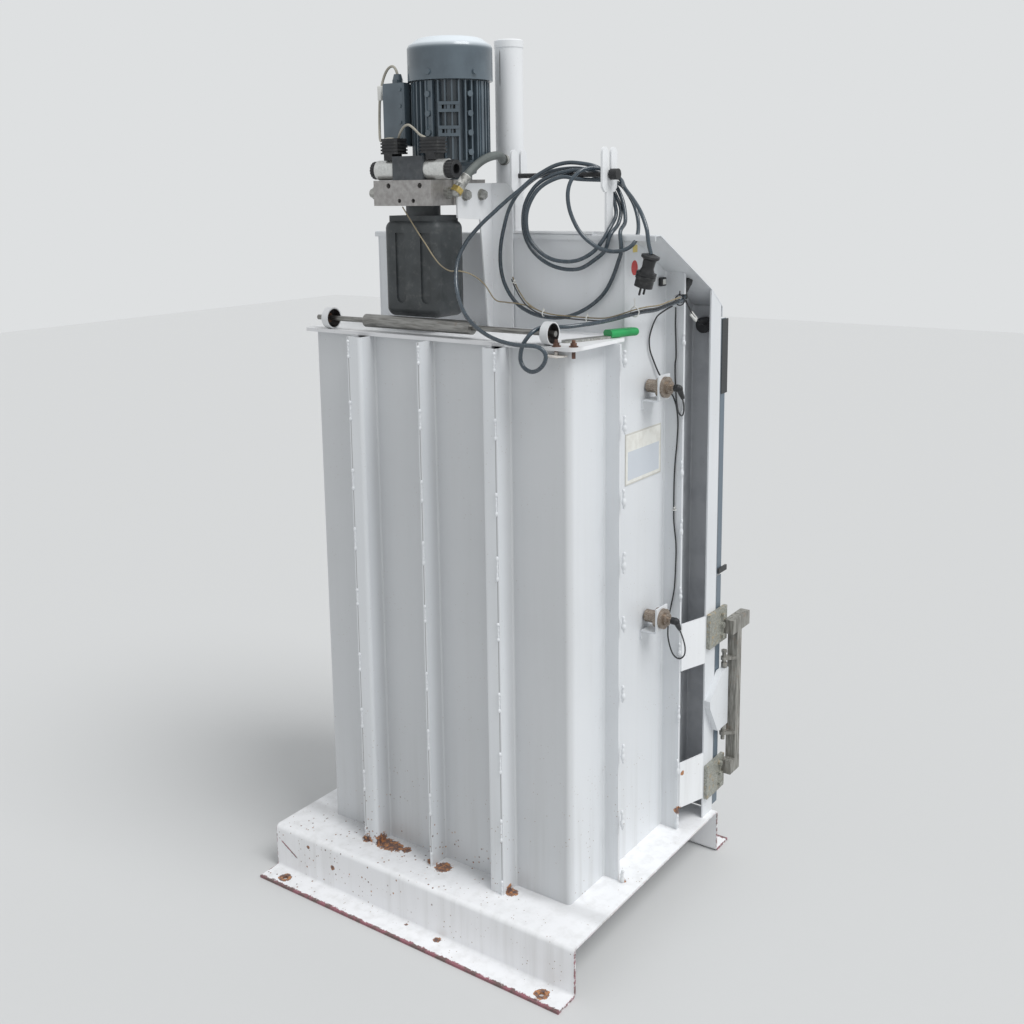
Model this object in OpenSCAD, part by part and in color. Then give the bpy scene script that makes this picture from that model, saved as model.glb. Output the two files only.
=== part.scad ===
/* [Base] */
// Width of the base between its two open ends
base_w = 890; // [860:2:940]
// Depth of the raised base top
base_d = 688; // [660:2:720]
// Height of the base top above the floor
base_h = 115; // [100:1:140]
// Thickness of the base sheet
base_t = 6; // [4:1:8]
// Width of each foot flange
foot_w = 62; // [45:1:80]
// Diameter of the floor bolt holes
foot_hole_d = 14; // [10:1:18]
// Distance of the floor bolt holes from the open ends
foot_hole_in = 60; // [40:1:90]
// Radius of the base bends on the centre of the sheet
base_bend_r = 9; // [6:1:14]

/* [Chamber] */
// Outside width of the chamber
ch_w = 710; // [690:2:730]
// Distance from the rear edge of the base top to the back wall
rear_gap = 124; // [110:1:140]
// Height of the shelf top above the base top
ch_h = 1255; // [1200:1:1310]
// Thickness of the wall sheets
wall_t = 4; // [3:1:5]
// Bend radius of the wall sheets on the centre of the sheet
wall_bend_r = 7; // [5:1:10]
// Distance of each strap channel from the middle
strap_x = 190; // [160:1:220]
// Outside width of a strap channel
strap_w = 40; // [34:1:50]
// Depth of the strap channels and of the middle rib
strap_d = 50; // [40:1:56]
// Distance of the side rib from the back wall
rib_a_y = 150; // [120:1:180]
// Depth of the side rib
rib_a_d = 38; // [28:1:46]
// Depth of the front posts
post_deep = 140; // [120:1:160]
// Depth of the rear flange of the post
rib_b_d = 48; // [36:1:56]
// Width of the front flange of the post
post_w = 76; // [70:1:82]
// Width of the outer lip of the post
post_lip = 60; // [45:1:70]
// Height of the strips on the chamber floor
strip_h = 20; // [14:1:26]
// Width of the strap grooves in the floor, doors and press plate
groove_w = 36; // [28:1:44]

/* [Shelf and head] */
// Overhang of the shelf past the side walls
shelf_side = 25; // [15:1:30]
// Overhang of the shelf past the back wall
shelf_back = 15; // [12:1:20]
// Height of the shelf lip
shelf_lip = 8; // [8:1:12]
// Thickness of the shelf plate
shelf_t = 6; // [4:1:7]
// Thickness of the shelf lip
shelf_lip_t = 3; // [2:0.5:4]
// Distance of the head from the back wall
head_gap = 232; // [215:1:245]
// Height of the head above the shelf
head_h = 218; // [200:1:240]
// Depth of the flat top of the head
head_flat = 22; // [18:1:30]
// Slope of the control panel in degrees
hood_slope = 27.9; // [24:0.1:31]
// Slope of the nose under the control panel in degrees
nose_slope = 38.5; // [34:0.5:44]
// Thickness of the hood sheet
hood_t = 3; // [2:0.5:4]

/* [Cylinder and press plate] */
// Distance of the cylinder from the back wall
cyl_gap = 306; // [292:1:315]
// Outside diameter of the cylinder
cyl_d = 66; // [60:1:76]
// Wall of the cylinder tube
cyl_wall = 5; // [4:0.5:7]
// Length of the cylinder above its flange
cyl_l = 639; // [620:1:680]
// Diameter of the piston rod
rod_d = 34; // [30:1:40]
// Width of the cylinder flange
cyl_flange_w = 124; // [110:1:126]
// Thickness of the cylinder flange
cyl_flange_t = 18; // [14:1:24]
// Stroke of the press plate
stroke = 580; // [500:5:590]
// Clearance round the press plate
ram_gap = 8; // [6:1:14]
// Height of the press plate with its ribs
ram_h = 70; // [55:1:85]
// Distance of the raised press plate from the shelf
ram_top_gap = 30; // [20:1:40]

/* [Doors] */
// Thickness of the doors
door_t = 24; // [20:1:28]
// Height of the bale door
bale_h = 611; // [560:1:650]
// Gap under, between and above the doors
door_gap = 6; // [5:1:10]
// Distance of the door edges inside the outer faces of the posts
door_in = 2; // [2:0.5:4]
// Depth of the strap grooves in the doors
door_groove = 10; // [6:1:14]
// Diameter of the door hinge pins
hinge_pin_d = 12; // [10:1:14]
// Outside diameter of the door hinge barrels
hinge_d = 22; // [20:1:24]
// Length of one half of a hinge barrel
hinge_l = 40; // [30:1:50]
// Radial running clearance of pins in their bores
pin_fit = 0.08; // [0.05:0.01:0.1]

/* [Latch] */
// Height of the middle of the latch above the base top
latch_z = 298; // [280:1:320]
// Distance between the middles of the two latch arms
latch_span = 377; // [360:1:400]
// Side of the square bar of the latch
latch_bar = 26; // [22:1:28]
// Height of a latch arm
arm_h = 36; // [30:1:40]
// Distance of the latch pin in front of the posts
latch_pin_y = 32; // [31:0.5:36]
// Diameter of the latch pin
latch_pin_d = 10; // [8:1:10]
// Thickness of the latch ear
ear_t = 16; // [14:1:18]
// Height of the latch ear
ear_h = 152; // [130:1:170]
// Thickness of a latch jaw
jaw_t = 9.7; // [8:0.1:10]
// Height of a latch jaw
jaw_h = 88; // [80:1:96]

/* [Power pack] */
// Width of the oil tank
tank_w = 157; // [140:1:165]
// Depth of the oil tank
tank_d = 106; // [98:1:116]
// Height of the oil tank
tank_h = 217; // [190:1:225]
// Clear height under the oil tank
tank_lift = 35; // [30:1:50]
// Distance of the front of the oil tank from the back wall
tank_gap = 28; // [22:1:34]
// Height of the manifold block
mani_h = 56; // [46:1:62]
// Height of the tank neck and lid under the manifold
neck_h = 32; // [24:1:40]
// Outside diameter of the motor over its fins
motor_d = 178; // [160:1:184]
// Number of motor fins
fins = 36; // [24:4:44]
// Length of the finned motor body
motor_l = 173; // [150:1:190]
// Diameter of the fan cowl
cowl_d = 192; // [184:1:200]
// Height of the fan cowl
cowl_h = 96; // [85:1:115]
// Distance of the motor axis from the bracket
motor_x = 58; // [50:1:64]
// Distance of the motor axis from the back of the head
motor_y = 74; // [66:1:84]

/* [Straps and fittings] */
// Diameter of the spool cups
cup_d = 49; // [46:1:54]
// Diameter of the spool bar
spool_d = 30; // [24:1:32]
// Distance of the spool bar from the back wall
spool_gap = 4; // [3:1:10]
// Height of the hanger rod above the head
hanger_h = 129; // [115:1:145]
// Diameter of the hanger rod
hanger_d = 11; // [9:1:12]
// Distance of the sensors from the back wall
sensor_y = 335; // [320:1:350]
// Height of the lower sensor above the base top
sensor_lo = 578; // [540:1:600]
// Height of the upper sensor above the base top
sensor_hi = 1128; // [1100:1:1160]
// Diameter of the sensor nuts
nut_d = 48; // [40:1:52]

/* [Hidden] */
$fn = 64;

white = [0.84, 0.86, 0.88];
steel = [0.62, 0.62, 0.6];
dark = [0.27, 0.29, 0.3];
blue_grey = [0.33, 0.38, 0.42];
black = [0.09, 0.09, 0.1];

// Main planes of the machine
y_rear = base_d / 2;
y_back = y_rear - rear_gap;
y_front = -base_d / 2;
x_wall = ch_w / 2;
x_out = x_wall + post_w;
y_rib_a = y_back - rib_a_y;
y_rib_b = y_front + post_deep;
y_head = y_back - head_gap;
z_shelf = base_h + ch_h;
z_rib = z_shelf - shelf_lip - 0.5;
z_head = z_shelf + head_h;
y_cyl = y_back - cyl_gap;
// The hood profile, from its rear edge to its front flange
nose_run = 59;
y_flat = y_head - head_flat;
y_nose = y_front + nose_run;
z_nose = z_head - (y_flat - y_nose) * tan(hood_slope);
z_front = z_nose - nose_run * tan(nose_slope);
// Doors
y_door = y_front - 1;
x_door = x_out - door_in;
z_bale = base_h + 10;
z_load = z_bale + bale_h + door_gap;
z_door_top = z_front - 30;
hinge_x = x_out + hinge_d / 2 + 1;
hinge_y = y_door - door_t / 2;
// Latch, mirrored to the side that faces the camera
bridge_lo = 56;
bridge_hi = 416;
bridge_h = 120;
side_plate_z = 912;
side_plate_h = 118;
lx = -(x_out + ear_t / 2);
ly = y_front - latch_pin_y;
lz = base_h + latch_z;
bar_x = -(x_out + 22);
bar_y = y_front - 62;
// Power pack, measured from the bracket web at x = 0
tank_x = 4;
tank_y1 = y_back - tank_gap;
z_tank = z_shelf + tank_lift;
z_mani = z_tank + tank_h + neck_h;
mani_top = z_mani + mani_h;
mani_w = 166;
mani_x = 5;
mani_y1 = tank_y1 + 13;
mani_d = 75;
motor_cy = y_head + motor_y;
bell_h = 42;
z_motor = mani_top + bell_h;
valve_y = mani_y1 - 23;
valve_z = mani_top + 22.5;
valve_x = mani_x + 23;
valve_w = 86;
sol_l = 56;
// Spool bar and hanger
spool_y = y_back - spool_gap;
spool_z = z_shelf + 0.3 + cup_d / 2;
cup_x = 308;
tube_end = 110;
bolt_at = [[-332, y_back + 6.5], [-366, y_back - 6]];
hanger_y = y_head - head_flat / 2 - 3;
hanger_z = z_head + hanger_h;
hanger_xl = -66;
hanger_xr = -306;
fork_w = 62;
stem_w = 28;

// Outline of a bent sheet of thickness t along the points p, bent to radius r
function unit(v) = v / norm(v);
function left(v) = [-v[1], v[0]];
function turn(v, a) = [v[0] * cos(a) - v[1] * sin(a), v[0] * sin(a) + v[1] * cos(a)];
function bend_side(p, i, t, r, side, n) =
    let (a = unit(p[i] - p[i - 1]), b = unit(p[i + 1] - p[i]))
    let (c = a[0] * b[1] - a[1] * b[0], ang = acos(min(1, max(-1, a * b))))
    let (s = c > 0 ? 1 : -1, tl = r * tan(ang / 2))
    let (o = p[i] - a * tl + left(a) * s * r, rad = r - s * side * t / 2)
    [for (k = [0:n]) o - turn(left(a) * s, s * ang * k / n) * rad];
function sheet_side(p, t, r, side, n) =
    let (m = len(p) - 1, a = unit(p[1] - p[0]), b = unit(p[m] - p[m - 1]))
    concat(
        [p[0] + left(a) * side * t / 2],
        [for (i = [1:1:m - 1]) each bend_side(p, i, t, r, side, n)],
        [p[m] + left(b) * side * t / 2]
    );
function rev(v) = [for (i = [len(v) - 1:-1:0]) v[i]];
module sheet2d(p, t, r, n = 5) {
    polygon(concat(sheet_side(p, t, r, 1, n), rev(sheet_side(p, t, r, -1, n))));
}

// A tube of n sides swept along the points p
function cross3(a, b) = cross(a, b);
function tangent(p, i) = unit(p[min(i + 1, len(p) - 1)] - p[max(i - 1, 0)]);
function frame_u(t) = abs(t[2]) > 0.9 ? unit(cross3(t, [1, 0, 0])) : unit(cross3(t, [0, 0, 1]));
function carry(u, t) = unit(u - t * (u * t));
function frames(p, i = 0, u = undef) =
    i >= len(p) ? [] :
    let (t = tangent(p, i), v = u == undef ? frame_u(t) : carry(u, t))
    concat([[t, v]], frames(p, i + 1, v));
module tube(p, d, n = 8) {
    f = frames(p);
    m = len(p);
    pts = [for (i = [0:m - 1], k = [0:n - 1])
        let (t = f[i][0], u = f[i][1], w = cross3(t, u), a = 360 * k / n)
        p[i] + (u * cos(a) + w * sin(a)) * d / 2];
    side = [for (i = [0:m - 2], k = [0:n - 1])
        let (j = (k + 1) % n)
        [i * n + k, (i + 1) * n + k, (i + 1) * n + j, i * n + j]];
    caps = [[for (k = [0:n - 1]) k], [for (k = [n - 1:-1:0]) (m - 1) * n + k]];
    polyhedron(points = pts, faces = concat(side, caps), convexity = 8);
}
// A smooth line through the points p, with s steps in each span
function cr(a, b, c, d, t) =
    0.5 * ((2 * b) + (c - a) * t + (2 * a - 5 * b + 4 * c - d) * t * t
    + (3 * b - a - 3 * c + d) * t * t * t);
function smooth(p, s) = let (m = len(p) - 1) concat(
    [for (i = [0:m - 1], k = [0:s - 1])
        cr(p[max(i - 1, 0)], p[i], p[i + 1], p[min(i + 2, m)], k / s)], [p[m]]);

// Places children on the control panel, x along it and s down its slope
module on_panel(x, s) {
    translate([x, y_flat - s * cos(hood_slope), z_head - s * sin(hood_slope)])
        rotate([hood_slope, 0, 0]) children();
}
// Round bar between two points on one axis
module bar_x(x0, x1, y, z, d) {
    translate([min(x0, x1), y, z]) rotate([0, 90, 0]) cylinder(d = d, h = abs(x1 - x0));
}
module bar_y(y0, y1, x, z, d) {
    translate([x, max(y0, y1), z]) rotate([90, 0, 0]) cylinder(d = d, h = abs(y1 - y0));
}
module box(x0, x1, y0, y1, z0, z1) {
    translate([min(x0, x1), min(y0, y1), min(z0, z1)])
        cube([abs(x1 - x0), abs(y1 - y0), abs(z1 - z0)]);
}
module hex_bolt(d, h, w) {
    cylinder(d = w, h = h, $fn = 6);
    translate([0, 0, -h]) cylinder(d = d, h = h + 0.1);
}

// Base: one hat section, open at both ends for a pallet truck
module base_plate() {
    c = base_t / 2;
    color(white) difference() {
        rotate([90, 0, 90]) translate([0, 0, -base_w / 2]) linear_extrude(base_w)
            sheet2d([
                [y_front - foot_w, c], [y_front + c, c], [y_front + c, base_h - c],
                [y_rear - c, base_h - c], [y_rear - c, c], [y_rear + foot_w, c]
            ], base_t, base_bend_r, 6);
        for (sx = [-1, 1], sy = [-1, 1])
            translate([sx * (base_w / 2 - foot_hole_in), sy * (y_rear + foot_w / 2 + 3), -1])
                cylinder(d = foot_hole_d, h = base_t + 2);
    }
}
module floor_strips() {
    y0 = y_front + wall_t + 3;
    y1 = y_back - wall_t - 3;
    xi = x_wall - wall_t - 3;
    color(white) {
        box(-(strap_x - groove_w / 2), strap_x - groove_w / 2, y0, y1, base_h, base_h + strip_h);
        for (s = [-1, 1])
            box(s * (strap_x + groove_w / 2), s * xi, y0, y1, base_h, base_h + strip_h);
    }
}

// Wall sheets: profiles seen from above, trimmed by the side view of the machine
module side_view() {
    rotate([90, 0, 90]) translate([0, 0, -base_w]) linear_extrude(2 * base_w) polygon([
        [y_back + 1, base_h], [y_back + 1, z_shelf - shelf_t], [y_head, z_shelf - shelf_t],
        [y_head, z_head - hood_t - 1.8], [y_head - 3, z_head - hood_t - 0.2],
        [y_flat, z_head - hood_t - 0.2],
        [y_nose, z_nose - hood_t - 0.6], [y_front, z_front - hood_t - 0.6],
        [y_front - 1, z_front - hood_t - 1.4], [y_front - 1, base_h]
    ]);
}
module outer_ribs() {
    difference() {
        box(-base_w, base_w, y_rib_a - wall_t - 1, y_rear, base_h, z_rib);
        box(-x_wall, x_wall, y_rib_a - wall_t - 2, y_back - 0.01, base_h - 1, z_rib + 1);
    }
}
module wall_sheet(p) {
    intersection() {
        translate([0, 0, base_h]) linear_extrude(ch_h + head_h)
            sheet2d(p, wall_t, wall_bend_r, 5);
        union() {
            outer_ribs();
            difference() {
                side_view();
                box(x_wall, base_w, y_rib_a - wall_t - 1, y_back + 2, z_rib, z_shelf + 1);
                box(-base_w, -x_wall, y_rib_a - wall_t - 1, y_back + 2, z_rib, z_shelf + 1);
            }
        }
    }
}
module pan_mid() {
    c = wall_t / 2;
    color(white) wall_sheet([
        [c, y_back + strap_d], [c, y_back - c], [strap_x - strap_w / 2 + c, y_back - c],
        [strap_x - strap_w / 2 + c, y_back + strap_d - c],
        [strap_x + strap_w / 2 - wall_t, y_back + strap_d - c]
    ]);
}
module pan_corner() {
    c = wall_t / 2;
    x = strap_x + strap_w / 2 - c;
    color(white) wall_sheet([
        [x, y_back + strap_d], [x, y_back - c], [x_wall - c, y_back - c],
        [x_wall - c, y_rib_a + c], [x_wall + rib_a_d, y_rib_a + c]
    ]);
}
// The rear flange of the post has a notch for the cables
notch_z = z_shelf + 66;
module cable_notch() {
    translate([x_wall + rib_b_d, y_rib_b + 20, notch_z]) rotate([90, 0, 0])
        linear_extrude(40) union() {
            translate([-15, 0]) circle(d = 20);
            translate([-15, -10]) square([20, 20]);
        }
}
module pan_side() {
    c = wall_t / 2;
    color(white) difference() {
        wall_sheet([
            [x_wall + rib_a_d, y_rib_a - c], [x_wall - c, y_rib_a - c],
            [x_wall - c, y_rib_b + c], [x_wall + rib_b_d, y_rib_b + c]
        ]);
        cable_notch();
    }
}
module post() {
    c = wall_t / 2;
    color(white) difference() {
        wall_sheet([
            [x_wall + rib_b_d, y_rib_b - c], [x_wall - c, y_rib_b - c],
            [x_wall - c, y_front + c], [x_out - c, y_front + c],
            [x_out - c, y_front + post_lip]
        ]);
        cable_notch();
    }
}
module mirrored() {
    mirror([1, 0, 0]) children();
}
module pan_mid_l() { pan_mid(); }
module pan_mid_r() { mirrored() pan_mid(); }
module pan_corner_l() { pan_corner(); }
module pan_corner_r() { mirrored() pan_corner(); }
module pan_side_l() { pan_side(); }
module pan_side_r() { mirrored() pan_side(); }
module post_l() { post(); }
module post_r() { mirrored() post(); }

// Plates that bridge the open side of each post beside the latch arms
module bridge_plates() {
    xa = x_wall + rib_b_d;
    ya = y_rib_b - wall_t;
    yb = y_front + post_lip;
    color(white) for (s = [-1, 1], z = [base_h + bridge_lo, base_h + bridge_hi])
        scale([s, 1, 1]) translate([0, 0, z]) linear_extrude(bridge_h) polygon([
            [xa + 0.2, y_rib_b], [xa + 4.2, y_rib_b], [xa + 4.6, ya - 1],
            [x_out, yb + 4], [x_out, yb + 0.2], [x_out - 4, yb + 0.2],
            [xa + 1, ya + 3], [xa + 0.2, ya + 3]
        ]);
}

// Shelf over the chamber, wide behind the head and narrow inside it
module top_shelf() {
    xs = x_wall + shelf_side;
    ys = y_back + shelf_back;
    yn = y_head + 44;
    xi = x_wall - wall_t - 1;
    color(white) difference() {
        translate([0, 0, z_shelf - shelf_t]) {
            linear_extrude(shelf_t) union() {
                polygon([
                    [-xs, yn], [-x_wall - 0.5, yn], [-x_wall - 0.5, y_head + 1],
                    [-xi, y_head + 1], [-xi, y_front + wall_t + 1],
                    [xi, y_front + wall_t + 1], [xi, y_head + 1],
                    [x_wall + 0.5, y_head + 1], [x_wall + 0.5, yn], [xs, yn],
                    [xs, ys - 14], [xs - 14, ys - 14], [xs - 14, ys],
                    [-xs + 14, ys], [-xs + 14, ys - 14], [-xs, ys - 14]
                ]);
                for (s = [-1, 1]) translate([s * (xs - 14), ys - 14]) circle(r = 14);
            }
            translate([0, 0, shelf_t - shelf_lip]) linear_extrude(shelf_lip - shelf_t + 0.1)
                difference() {
                    union() {
                        polygon([
                            [-xs, yn], [xs, yn], [xs, ys - 14], [xs - 14, ys - 14],
                            [xs - 14, ys], [-xs + 14, ys], [-xs + 14, ys - 14], [-xs, ys - 14]
                        ]);
                        for (s = [-1, 1]) translate([s * (xs - 14), ys - 14]) circle(r = 14);
                    }
                    translate([-xs + shelf_lip_t, yn - 1])
                        square([2 * (xs - shelf_lip_t), ys - 14 - yn + 1]);
                    translate([-xs + 14, yn - 1])
                        square([2 * (xs - 14), ys - shelf_lip_t - yn + 1]);
                    for (s = [-1, 1]) translate([s * (xs - 14), ys - 14])
                        circle(r = 14 - shelf_lip_t);
                }
        }
        translate([0, y_cyl, z_shelf - shelf_t - 1]) cylinder(d = rod_d + 14, h = shelf_t + 2);
        shelf_holes();
    }
}
module shelf_holes() {
    for (p = bolt_at)
        translate([p[0], p[1], z_shelf - shelf_t - 1]) cylinder(d = 8.6, h = shelf_t + 2);
}
module head_back() {
    xi = x_wall - wall_t - 0.5;
    color(white) box(-xi, xi, y_head - wall_t, y_head, z_shelf, z_head - hood_t - 1.8);
}
// One folded sheet: rear lip, flat top, control panel, nose and front flange
module hood() {
    c = hood_t / 2;
    color(white) difference() {
        rotate([90, 0, 90]) translate([0, 0, -x_out]) linear_extrude(2 * x_out)
            sheet2d([
                [y_head + c + 0.2, z_head - 13], [y_head + c + 0.2, z_head - c],
                [y_flat, z_head - c], [y_nose, z_nose - c],
                [y_front - c, z_front - c], [y_front - c, z_door_top + 4]
            ], hood_t, 3, 4);
        translate([0, y_cyl, z_nose]) cylinder(d = cyl_d + 6, h = head_h);
        for (x = panel_x) on_panel(x, panel_s) translate([0, 0, -15]) cylinder(d = 22.4, h = 30);
        box(x_wall + 8, x_out + 1, y_rib_b + 20, y_head + 5, z_nose, z_head + 5);
    }
}
// Switch on the inner face of the front flange, worked by the loading door
module door_switch() {
    color(black) bar_y(y_front + wall_t, y_front + wall_t + 18, -(x_wall + 36), z_shelf - 8, 38);
}

// Latch ear, welded to the lip of the post, with the pin through its front
module latch_ear() {
    z0 = lz - ear_h / 2;
    z1 = lz + ear_h / 2;
    yb = y_front + post_lip;
    color(white) difference() {
        translate([-x_out - ear_t, 0, 0]) rotate([90, 0, 90]) linear_extrude(ear_t) polygon([
            [ly - 10, z0], [ly - 10, z1], [y_front - 4, z1],
            [yb, lz + 18], [yb, lz], [y_front + 14, z0]
        ]);
        translate([lx, ly, z0 - 1]) cylinder(d = latch_pin_d + 0.02, h = ear_h + 2);
    }
}
module latch_pin() {
    color(dark) {
        translate([lx, ly, lz - ear_h / 2 - 42]) cylinder(d = latch_pin_d, h = ear_h + 84);
        translate([lx, ly, lz + ear_h / 2 + 41]) cylinder(d = latch_pin_d + 6, h = 6, $fn = 6);
        translate([lx, ly, lz + ear_h / 2 + 2]) cylinder(d = latch_pin_d + 5, h = 12);
        translate([lx, ly, lz - ear_h / 2 - 12]) cylinder(d = latch_pin_d + 5, h = 10);
    }
}
// Frame of the latch: two arms, a square bar and two lugs that turn on the pin
module latch_frame() {
    b = latch_bar / 2;
    lug_z = ear_h / 2 + 25;
    color(steel) difference() {
        union() {
            box(bar_x - b, bar_x + b, bar_y - b, bar_y + b,
                lz - latch_span / 2, lz + latch_span / 2);
            for (s = [-1, 1]) {
                translate([0, 0, lz + s * latch_span / 2 - arm_h / 2])
                    box(bar_x - b, -(x_out + jaw_t + 0.3), bar_y - b - (s > 0 ? 46 : 2),
                        y_front - 24, 0, arm_h);
                translate([0, 0, lz + s * lug_z - 4]) linear_extrude(8) union() {
                    translate([lx, ly]) circle(d = 17);
                    polygon([
                        [lx - 8.5, ly], [lx + 6, ly - 4], [bar_x + b, bar_y + b - 1],
                        [bar_x - b, bar_y + b - 1]
                    ]);
                }
            }
        }
        translate([lx, ly, lz - latch_span / 2 + arm_h / 2 + 2])
            cylinder(d = latch_pin_d + 2 * pin_fit, h = latch_span - arm_h - 4);
        for (s = [-1, 1])
            translate([bar_x, bar_y - b - (s > 0 ? 47 : 3), lz + s * latch_span / 2])
                rotate([-90, 0, 0]) linear_extrude(30) square([b * 2 - 6, arm_h - 6], center = true);
    }
}
// Jaws that bear on the lip of the post and on the edge of the bale door
module latch_jaws() {
    for (s = [-1, 1]) {
        zc = lz + s * (latch_span / 2 + 8) - (s < 0 ? 6 : 0);
        color([0.66, 0.6, 0.42]) {
            box(-(x_out + 0.3), -(x_out + jaw_t + 0.3), y_front + 56, y_front - 40,
                zc - jaw_h / 2, zc + jaw_h / 2);
            for (k = [-1, 0, 1])
                translate([-(x_out + jaw_t + 0.2), y_front - 12, zc + k * 28])
                    rotate([0, -90, 0]) cylinder(d = 15, h = 7, $fn = 6);
        }
    }
}

// Lift-off hinges: the lower halves with their pins stay on the post
hinge_zs = [z_bale + 70, z_bale + bale_h - 130, z_load + 70, z_door_top - 130];
module hinge_pintles() {
    color(dark) for (z = hinge_zs) {
        translate([0, 0, z]) linear_extrude(hinge_l) union() {
            translate([hinge_x, hinge_y]) circle(d = hinge_d);
            polygon([
                [x_out, hinge_y], [hinge_x, hinge_y], [hinge_x - 6, y_front],
                [x_out + 5, y_front + 8], [x_out + 5, y_front + 44], [x_out, y_front + 44]
            ]);
        }
        translate([hinge_x, hinge_y, z]) cylinder(d = hinge_pin_d, h = 2 * hinge_l - 6);
    }
}
module hinge_knuckle(z) {
    translate([0, 0, z + hinge_l + 0.4]) linear_extrude(hinge_l) union() {
        translate([hinge_x, hinge_y]) circle(d = hinge_d);
        polygon([
            [x_door - 2, hinge_y + 6], [hinge_x, hinge_y + 6],
            [hinge_x, hinge_y - hinge_d / 2], [x_door - 2, hinge_y - hinge_d / 2]
        ]);
    }
}
module hinge_bore(z) {
    translate([hinge_x, hinge_y, z + hinge_l]) cylinder(d = hinge_pin_d + 2 * pin_fit, h = hinge_l + 2);
}
module door_handle(x, z, h) {
    y = y_door - door_t;
    for (s = [-1, 1]) bar_y(y + 1, y - 42, x, z + s * h / 2, 14);
    translate([x, y - 42, z - h / 2 - 7]) cylinder(d = 16, h = h + 14);
}
module door_panel(z0, z1) {
    difference() {
        box(-x_door, x_door, y_door, y_door - door_t, z0, z1);
        for (s = [-1, 1])
            box(s * strap_x - groove_w / 2, s * strap_x + groove_w / 2,
                y_door + 1, y_door - door_groove, z0 - 1, z1 + 1);
    }
}
module loading_door() {
    y = y_door - door_t;
    color(white) difference() {
        union() {
            door_panel(z_load, z_door_top);
            for (z = [z_load + 60, z_door_top - 90])
                box(-x_door + 40, x_door - 40, y, y - 12, z, z + 30);
            door_handle(-x_door + 95, (z_load + z_door_top) / 2 - 40, 150);
            for (i = [2, 3]) hinge_knuckle(hinge_zs[i]);
        }
        for (i = [2, 3]) hinge_bore(hinge_zs[i]);
    }
}
module door_edge() {
    color(black) {
        box(-x_door, -(x_door + 1.6), y_door - 2, y_door - door_t - 10,
            z_door_top - 183, z_door_top - 2);
        box(-x_door, -(x_door + 5), y_door - 2, y_door - door_t - 22, z_load + 1, z_load + 14);
    }
}
module bale_door() {
    y = y_door - door_t;
    color(white) difference() {
        union() {
            door_panel(z_bale, z_bale + bale_h);
            for (k = [0:2])
                box(-x_door + 40, x_door - 40, y, y - 12, z_bale + 60 + k * 225, z_bale + 95 + k * 225);
            door_handle(-x_door + 95, z_bale + 300, 150);
            for (i = [0, 1]) hinge_knuckle(hinge_zs[i]);
        }
        for (i = [0, 1]) hinge_bore(hinge_zs[i]);
    }
}

// Controls on the sloping panel
panel_s = 130;
panel_x = [150, 220, 300];
module bezel(x, w) {
    on_panel(x, panel_s) difference() {
        union() {
            translate([0, 0, 0.3]) cylinder(d1 = w, d2 = w - 4, h = 5);
            translate([0, 0, -30]) cylinder(d = 22, h = 31);
            translate([0, 0, -hood_t - 6.2]) cylinder(d = 30, h = 6, $fn = 6);
        }
        translate([0, 0, -31]) cylinder(d = 16, h = 40);
    }
}
module control_bezels() {
    color(dark) {
        bezel(panel_x[0], 30);
        bezel(panel_x[1], 30);
        bezel(panel_x[2], 36);
    }
}
module start_button() {
    color([0.1, 0.55, 0.25]) on_panel(panel_x[0], panel_s) {
        translate([0, 0, -26]) cylinder(d = 16 - 2 * pin_fit, h = 36);
    }
}
module key_switch() {
    color(black) on_panel(panel_x[1], panel_s) {
        translate([0, 0, -26]) cylinder(d = 16 - 2 * pin_fit, h = 32);
        translate([0, 0, 5.6]) cylinder(d = 24, h = 5);
        translate([-3, -11, 10]) cube([6, 22, 10]);
    }
}
module stop_button() {
    color([0.75, 0.08, 0.06]) on_panel(panel_x[2], panel_s) {
        translate([0, 0, -26]) cylinder(d = 16 - 2 * pin_fit, h = 42);
        translate([0, 0, 13]) rotate_extrude() polygon([
            [0, 0], [15, 0], [19, 3], [20, 7], [18, 10], [12, 12.5], [0, 13.5]
        ]);
    }
}

// Hydraulic cylinder
module cyl_flange() {
    w = cyl_flange_w;
    color(dark) difference() {
        translate([-w / 2, y_cyl - w / 2, z_shelf]) cube([w, w, cyl_flange_t]);
        translate([0, y_cyl, z_shelf - 1]) cylinder(d = rod_d + 2 * pin_fit, h = cyl_flange_t + 2);
        for (sx = [-1, 1], sy = [-1, 1])
            translate([sx * (w / 2 - 16), y_cyl + sy * (w / 2 - 16), z_shelf - 1])
                cylinder(d = 11, h = cyl_flange_t + 2);
    }
}
cyl_z0 = z_shelf + cyl_flange_t;
module cyl_barrel() {
    r = cyl_d / 2;
    color(white) {
        translate([0, y_cyl, cyl_z0]) rotate_extrude() polygon([
            [r - cyl_wall, 0], [r, 0], [r, cyl_l - 18], [r + 1.2, cyl_l - 18],
            [r + 1.2, cyl_l - 3], [r - 2, cyl_l], [0, cyl_l],
            [0, cyl_l - 14], [r - cyl_wall, cyl_l - 14]
        ]);
    }
}
hose_elbow = [-20, y_back - 70, z_mani + 28];
hose_start = [-31, y_back - 96, z_mani + 63];
hose_v = unit(hose_start - hose_elbow);
port_y = y_cyl + cyl_d / 2;
port_z = z_mani + 101;
hose_p = concat([hose_start], smooth([
    hose_start + hose_v * 8, [-38, y_back - 118, z_mani + 84],
    [-42, y_back - 140, z_mani + 97], [-42, y_back - 166, z_mani + 105],
    [-41, port_y + 79, z_mani + 109], [-34, port_y + 51, z_mani + 108],
    [-20, port_y + 29, z_mani + 103], [-6, port_y + 9, port_z]
], 3), [[-6, port_y + 3, port_z]]);
// Pressure hose between the manifold and the port of the cylinder
module hose() {
    color([0.42, 0.45, 0.44]) tube(hose_p, 19, 12);
}
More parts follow.
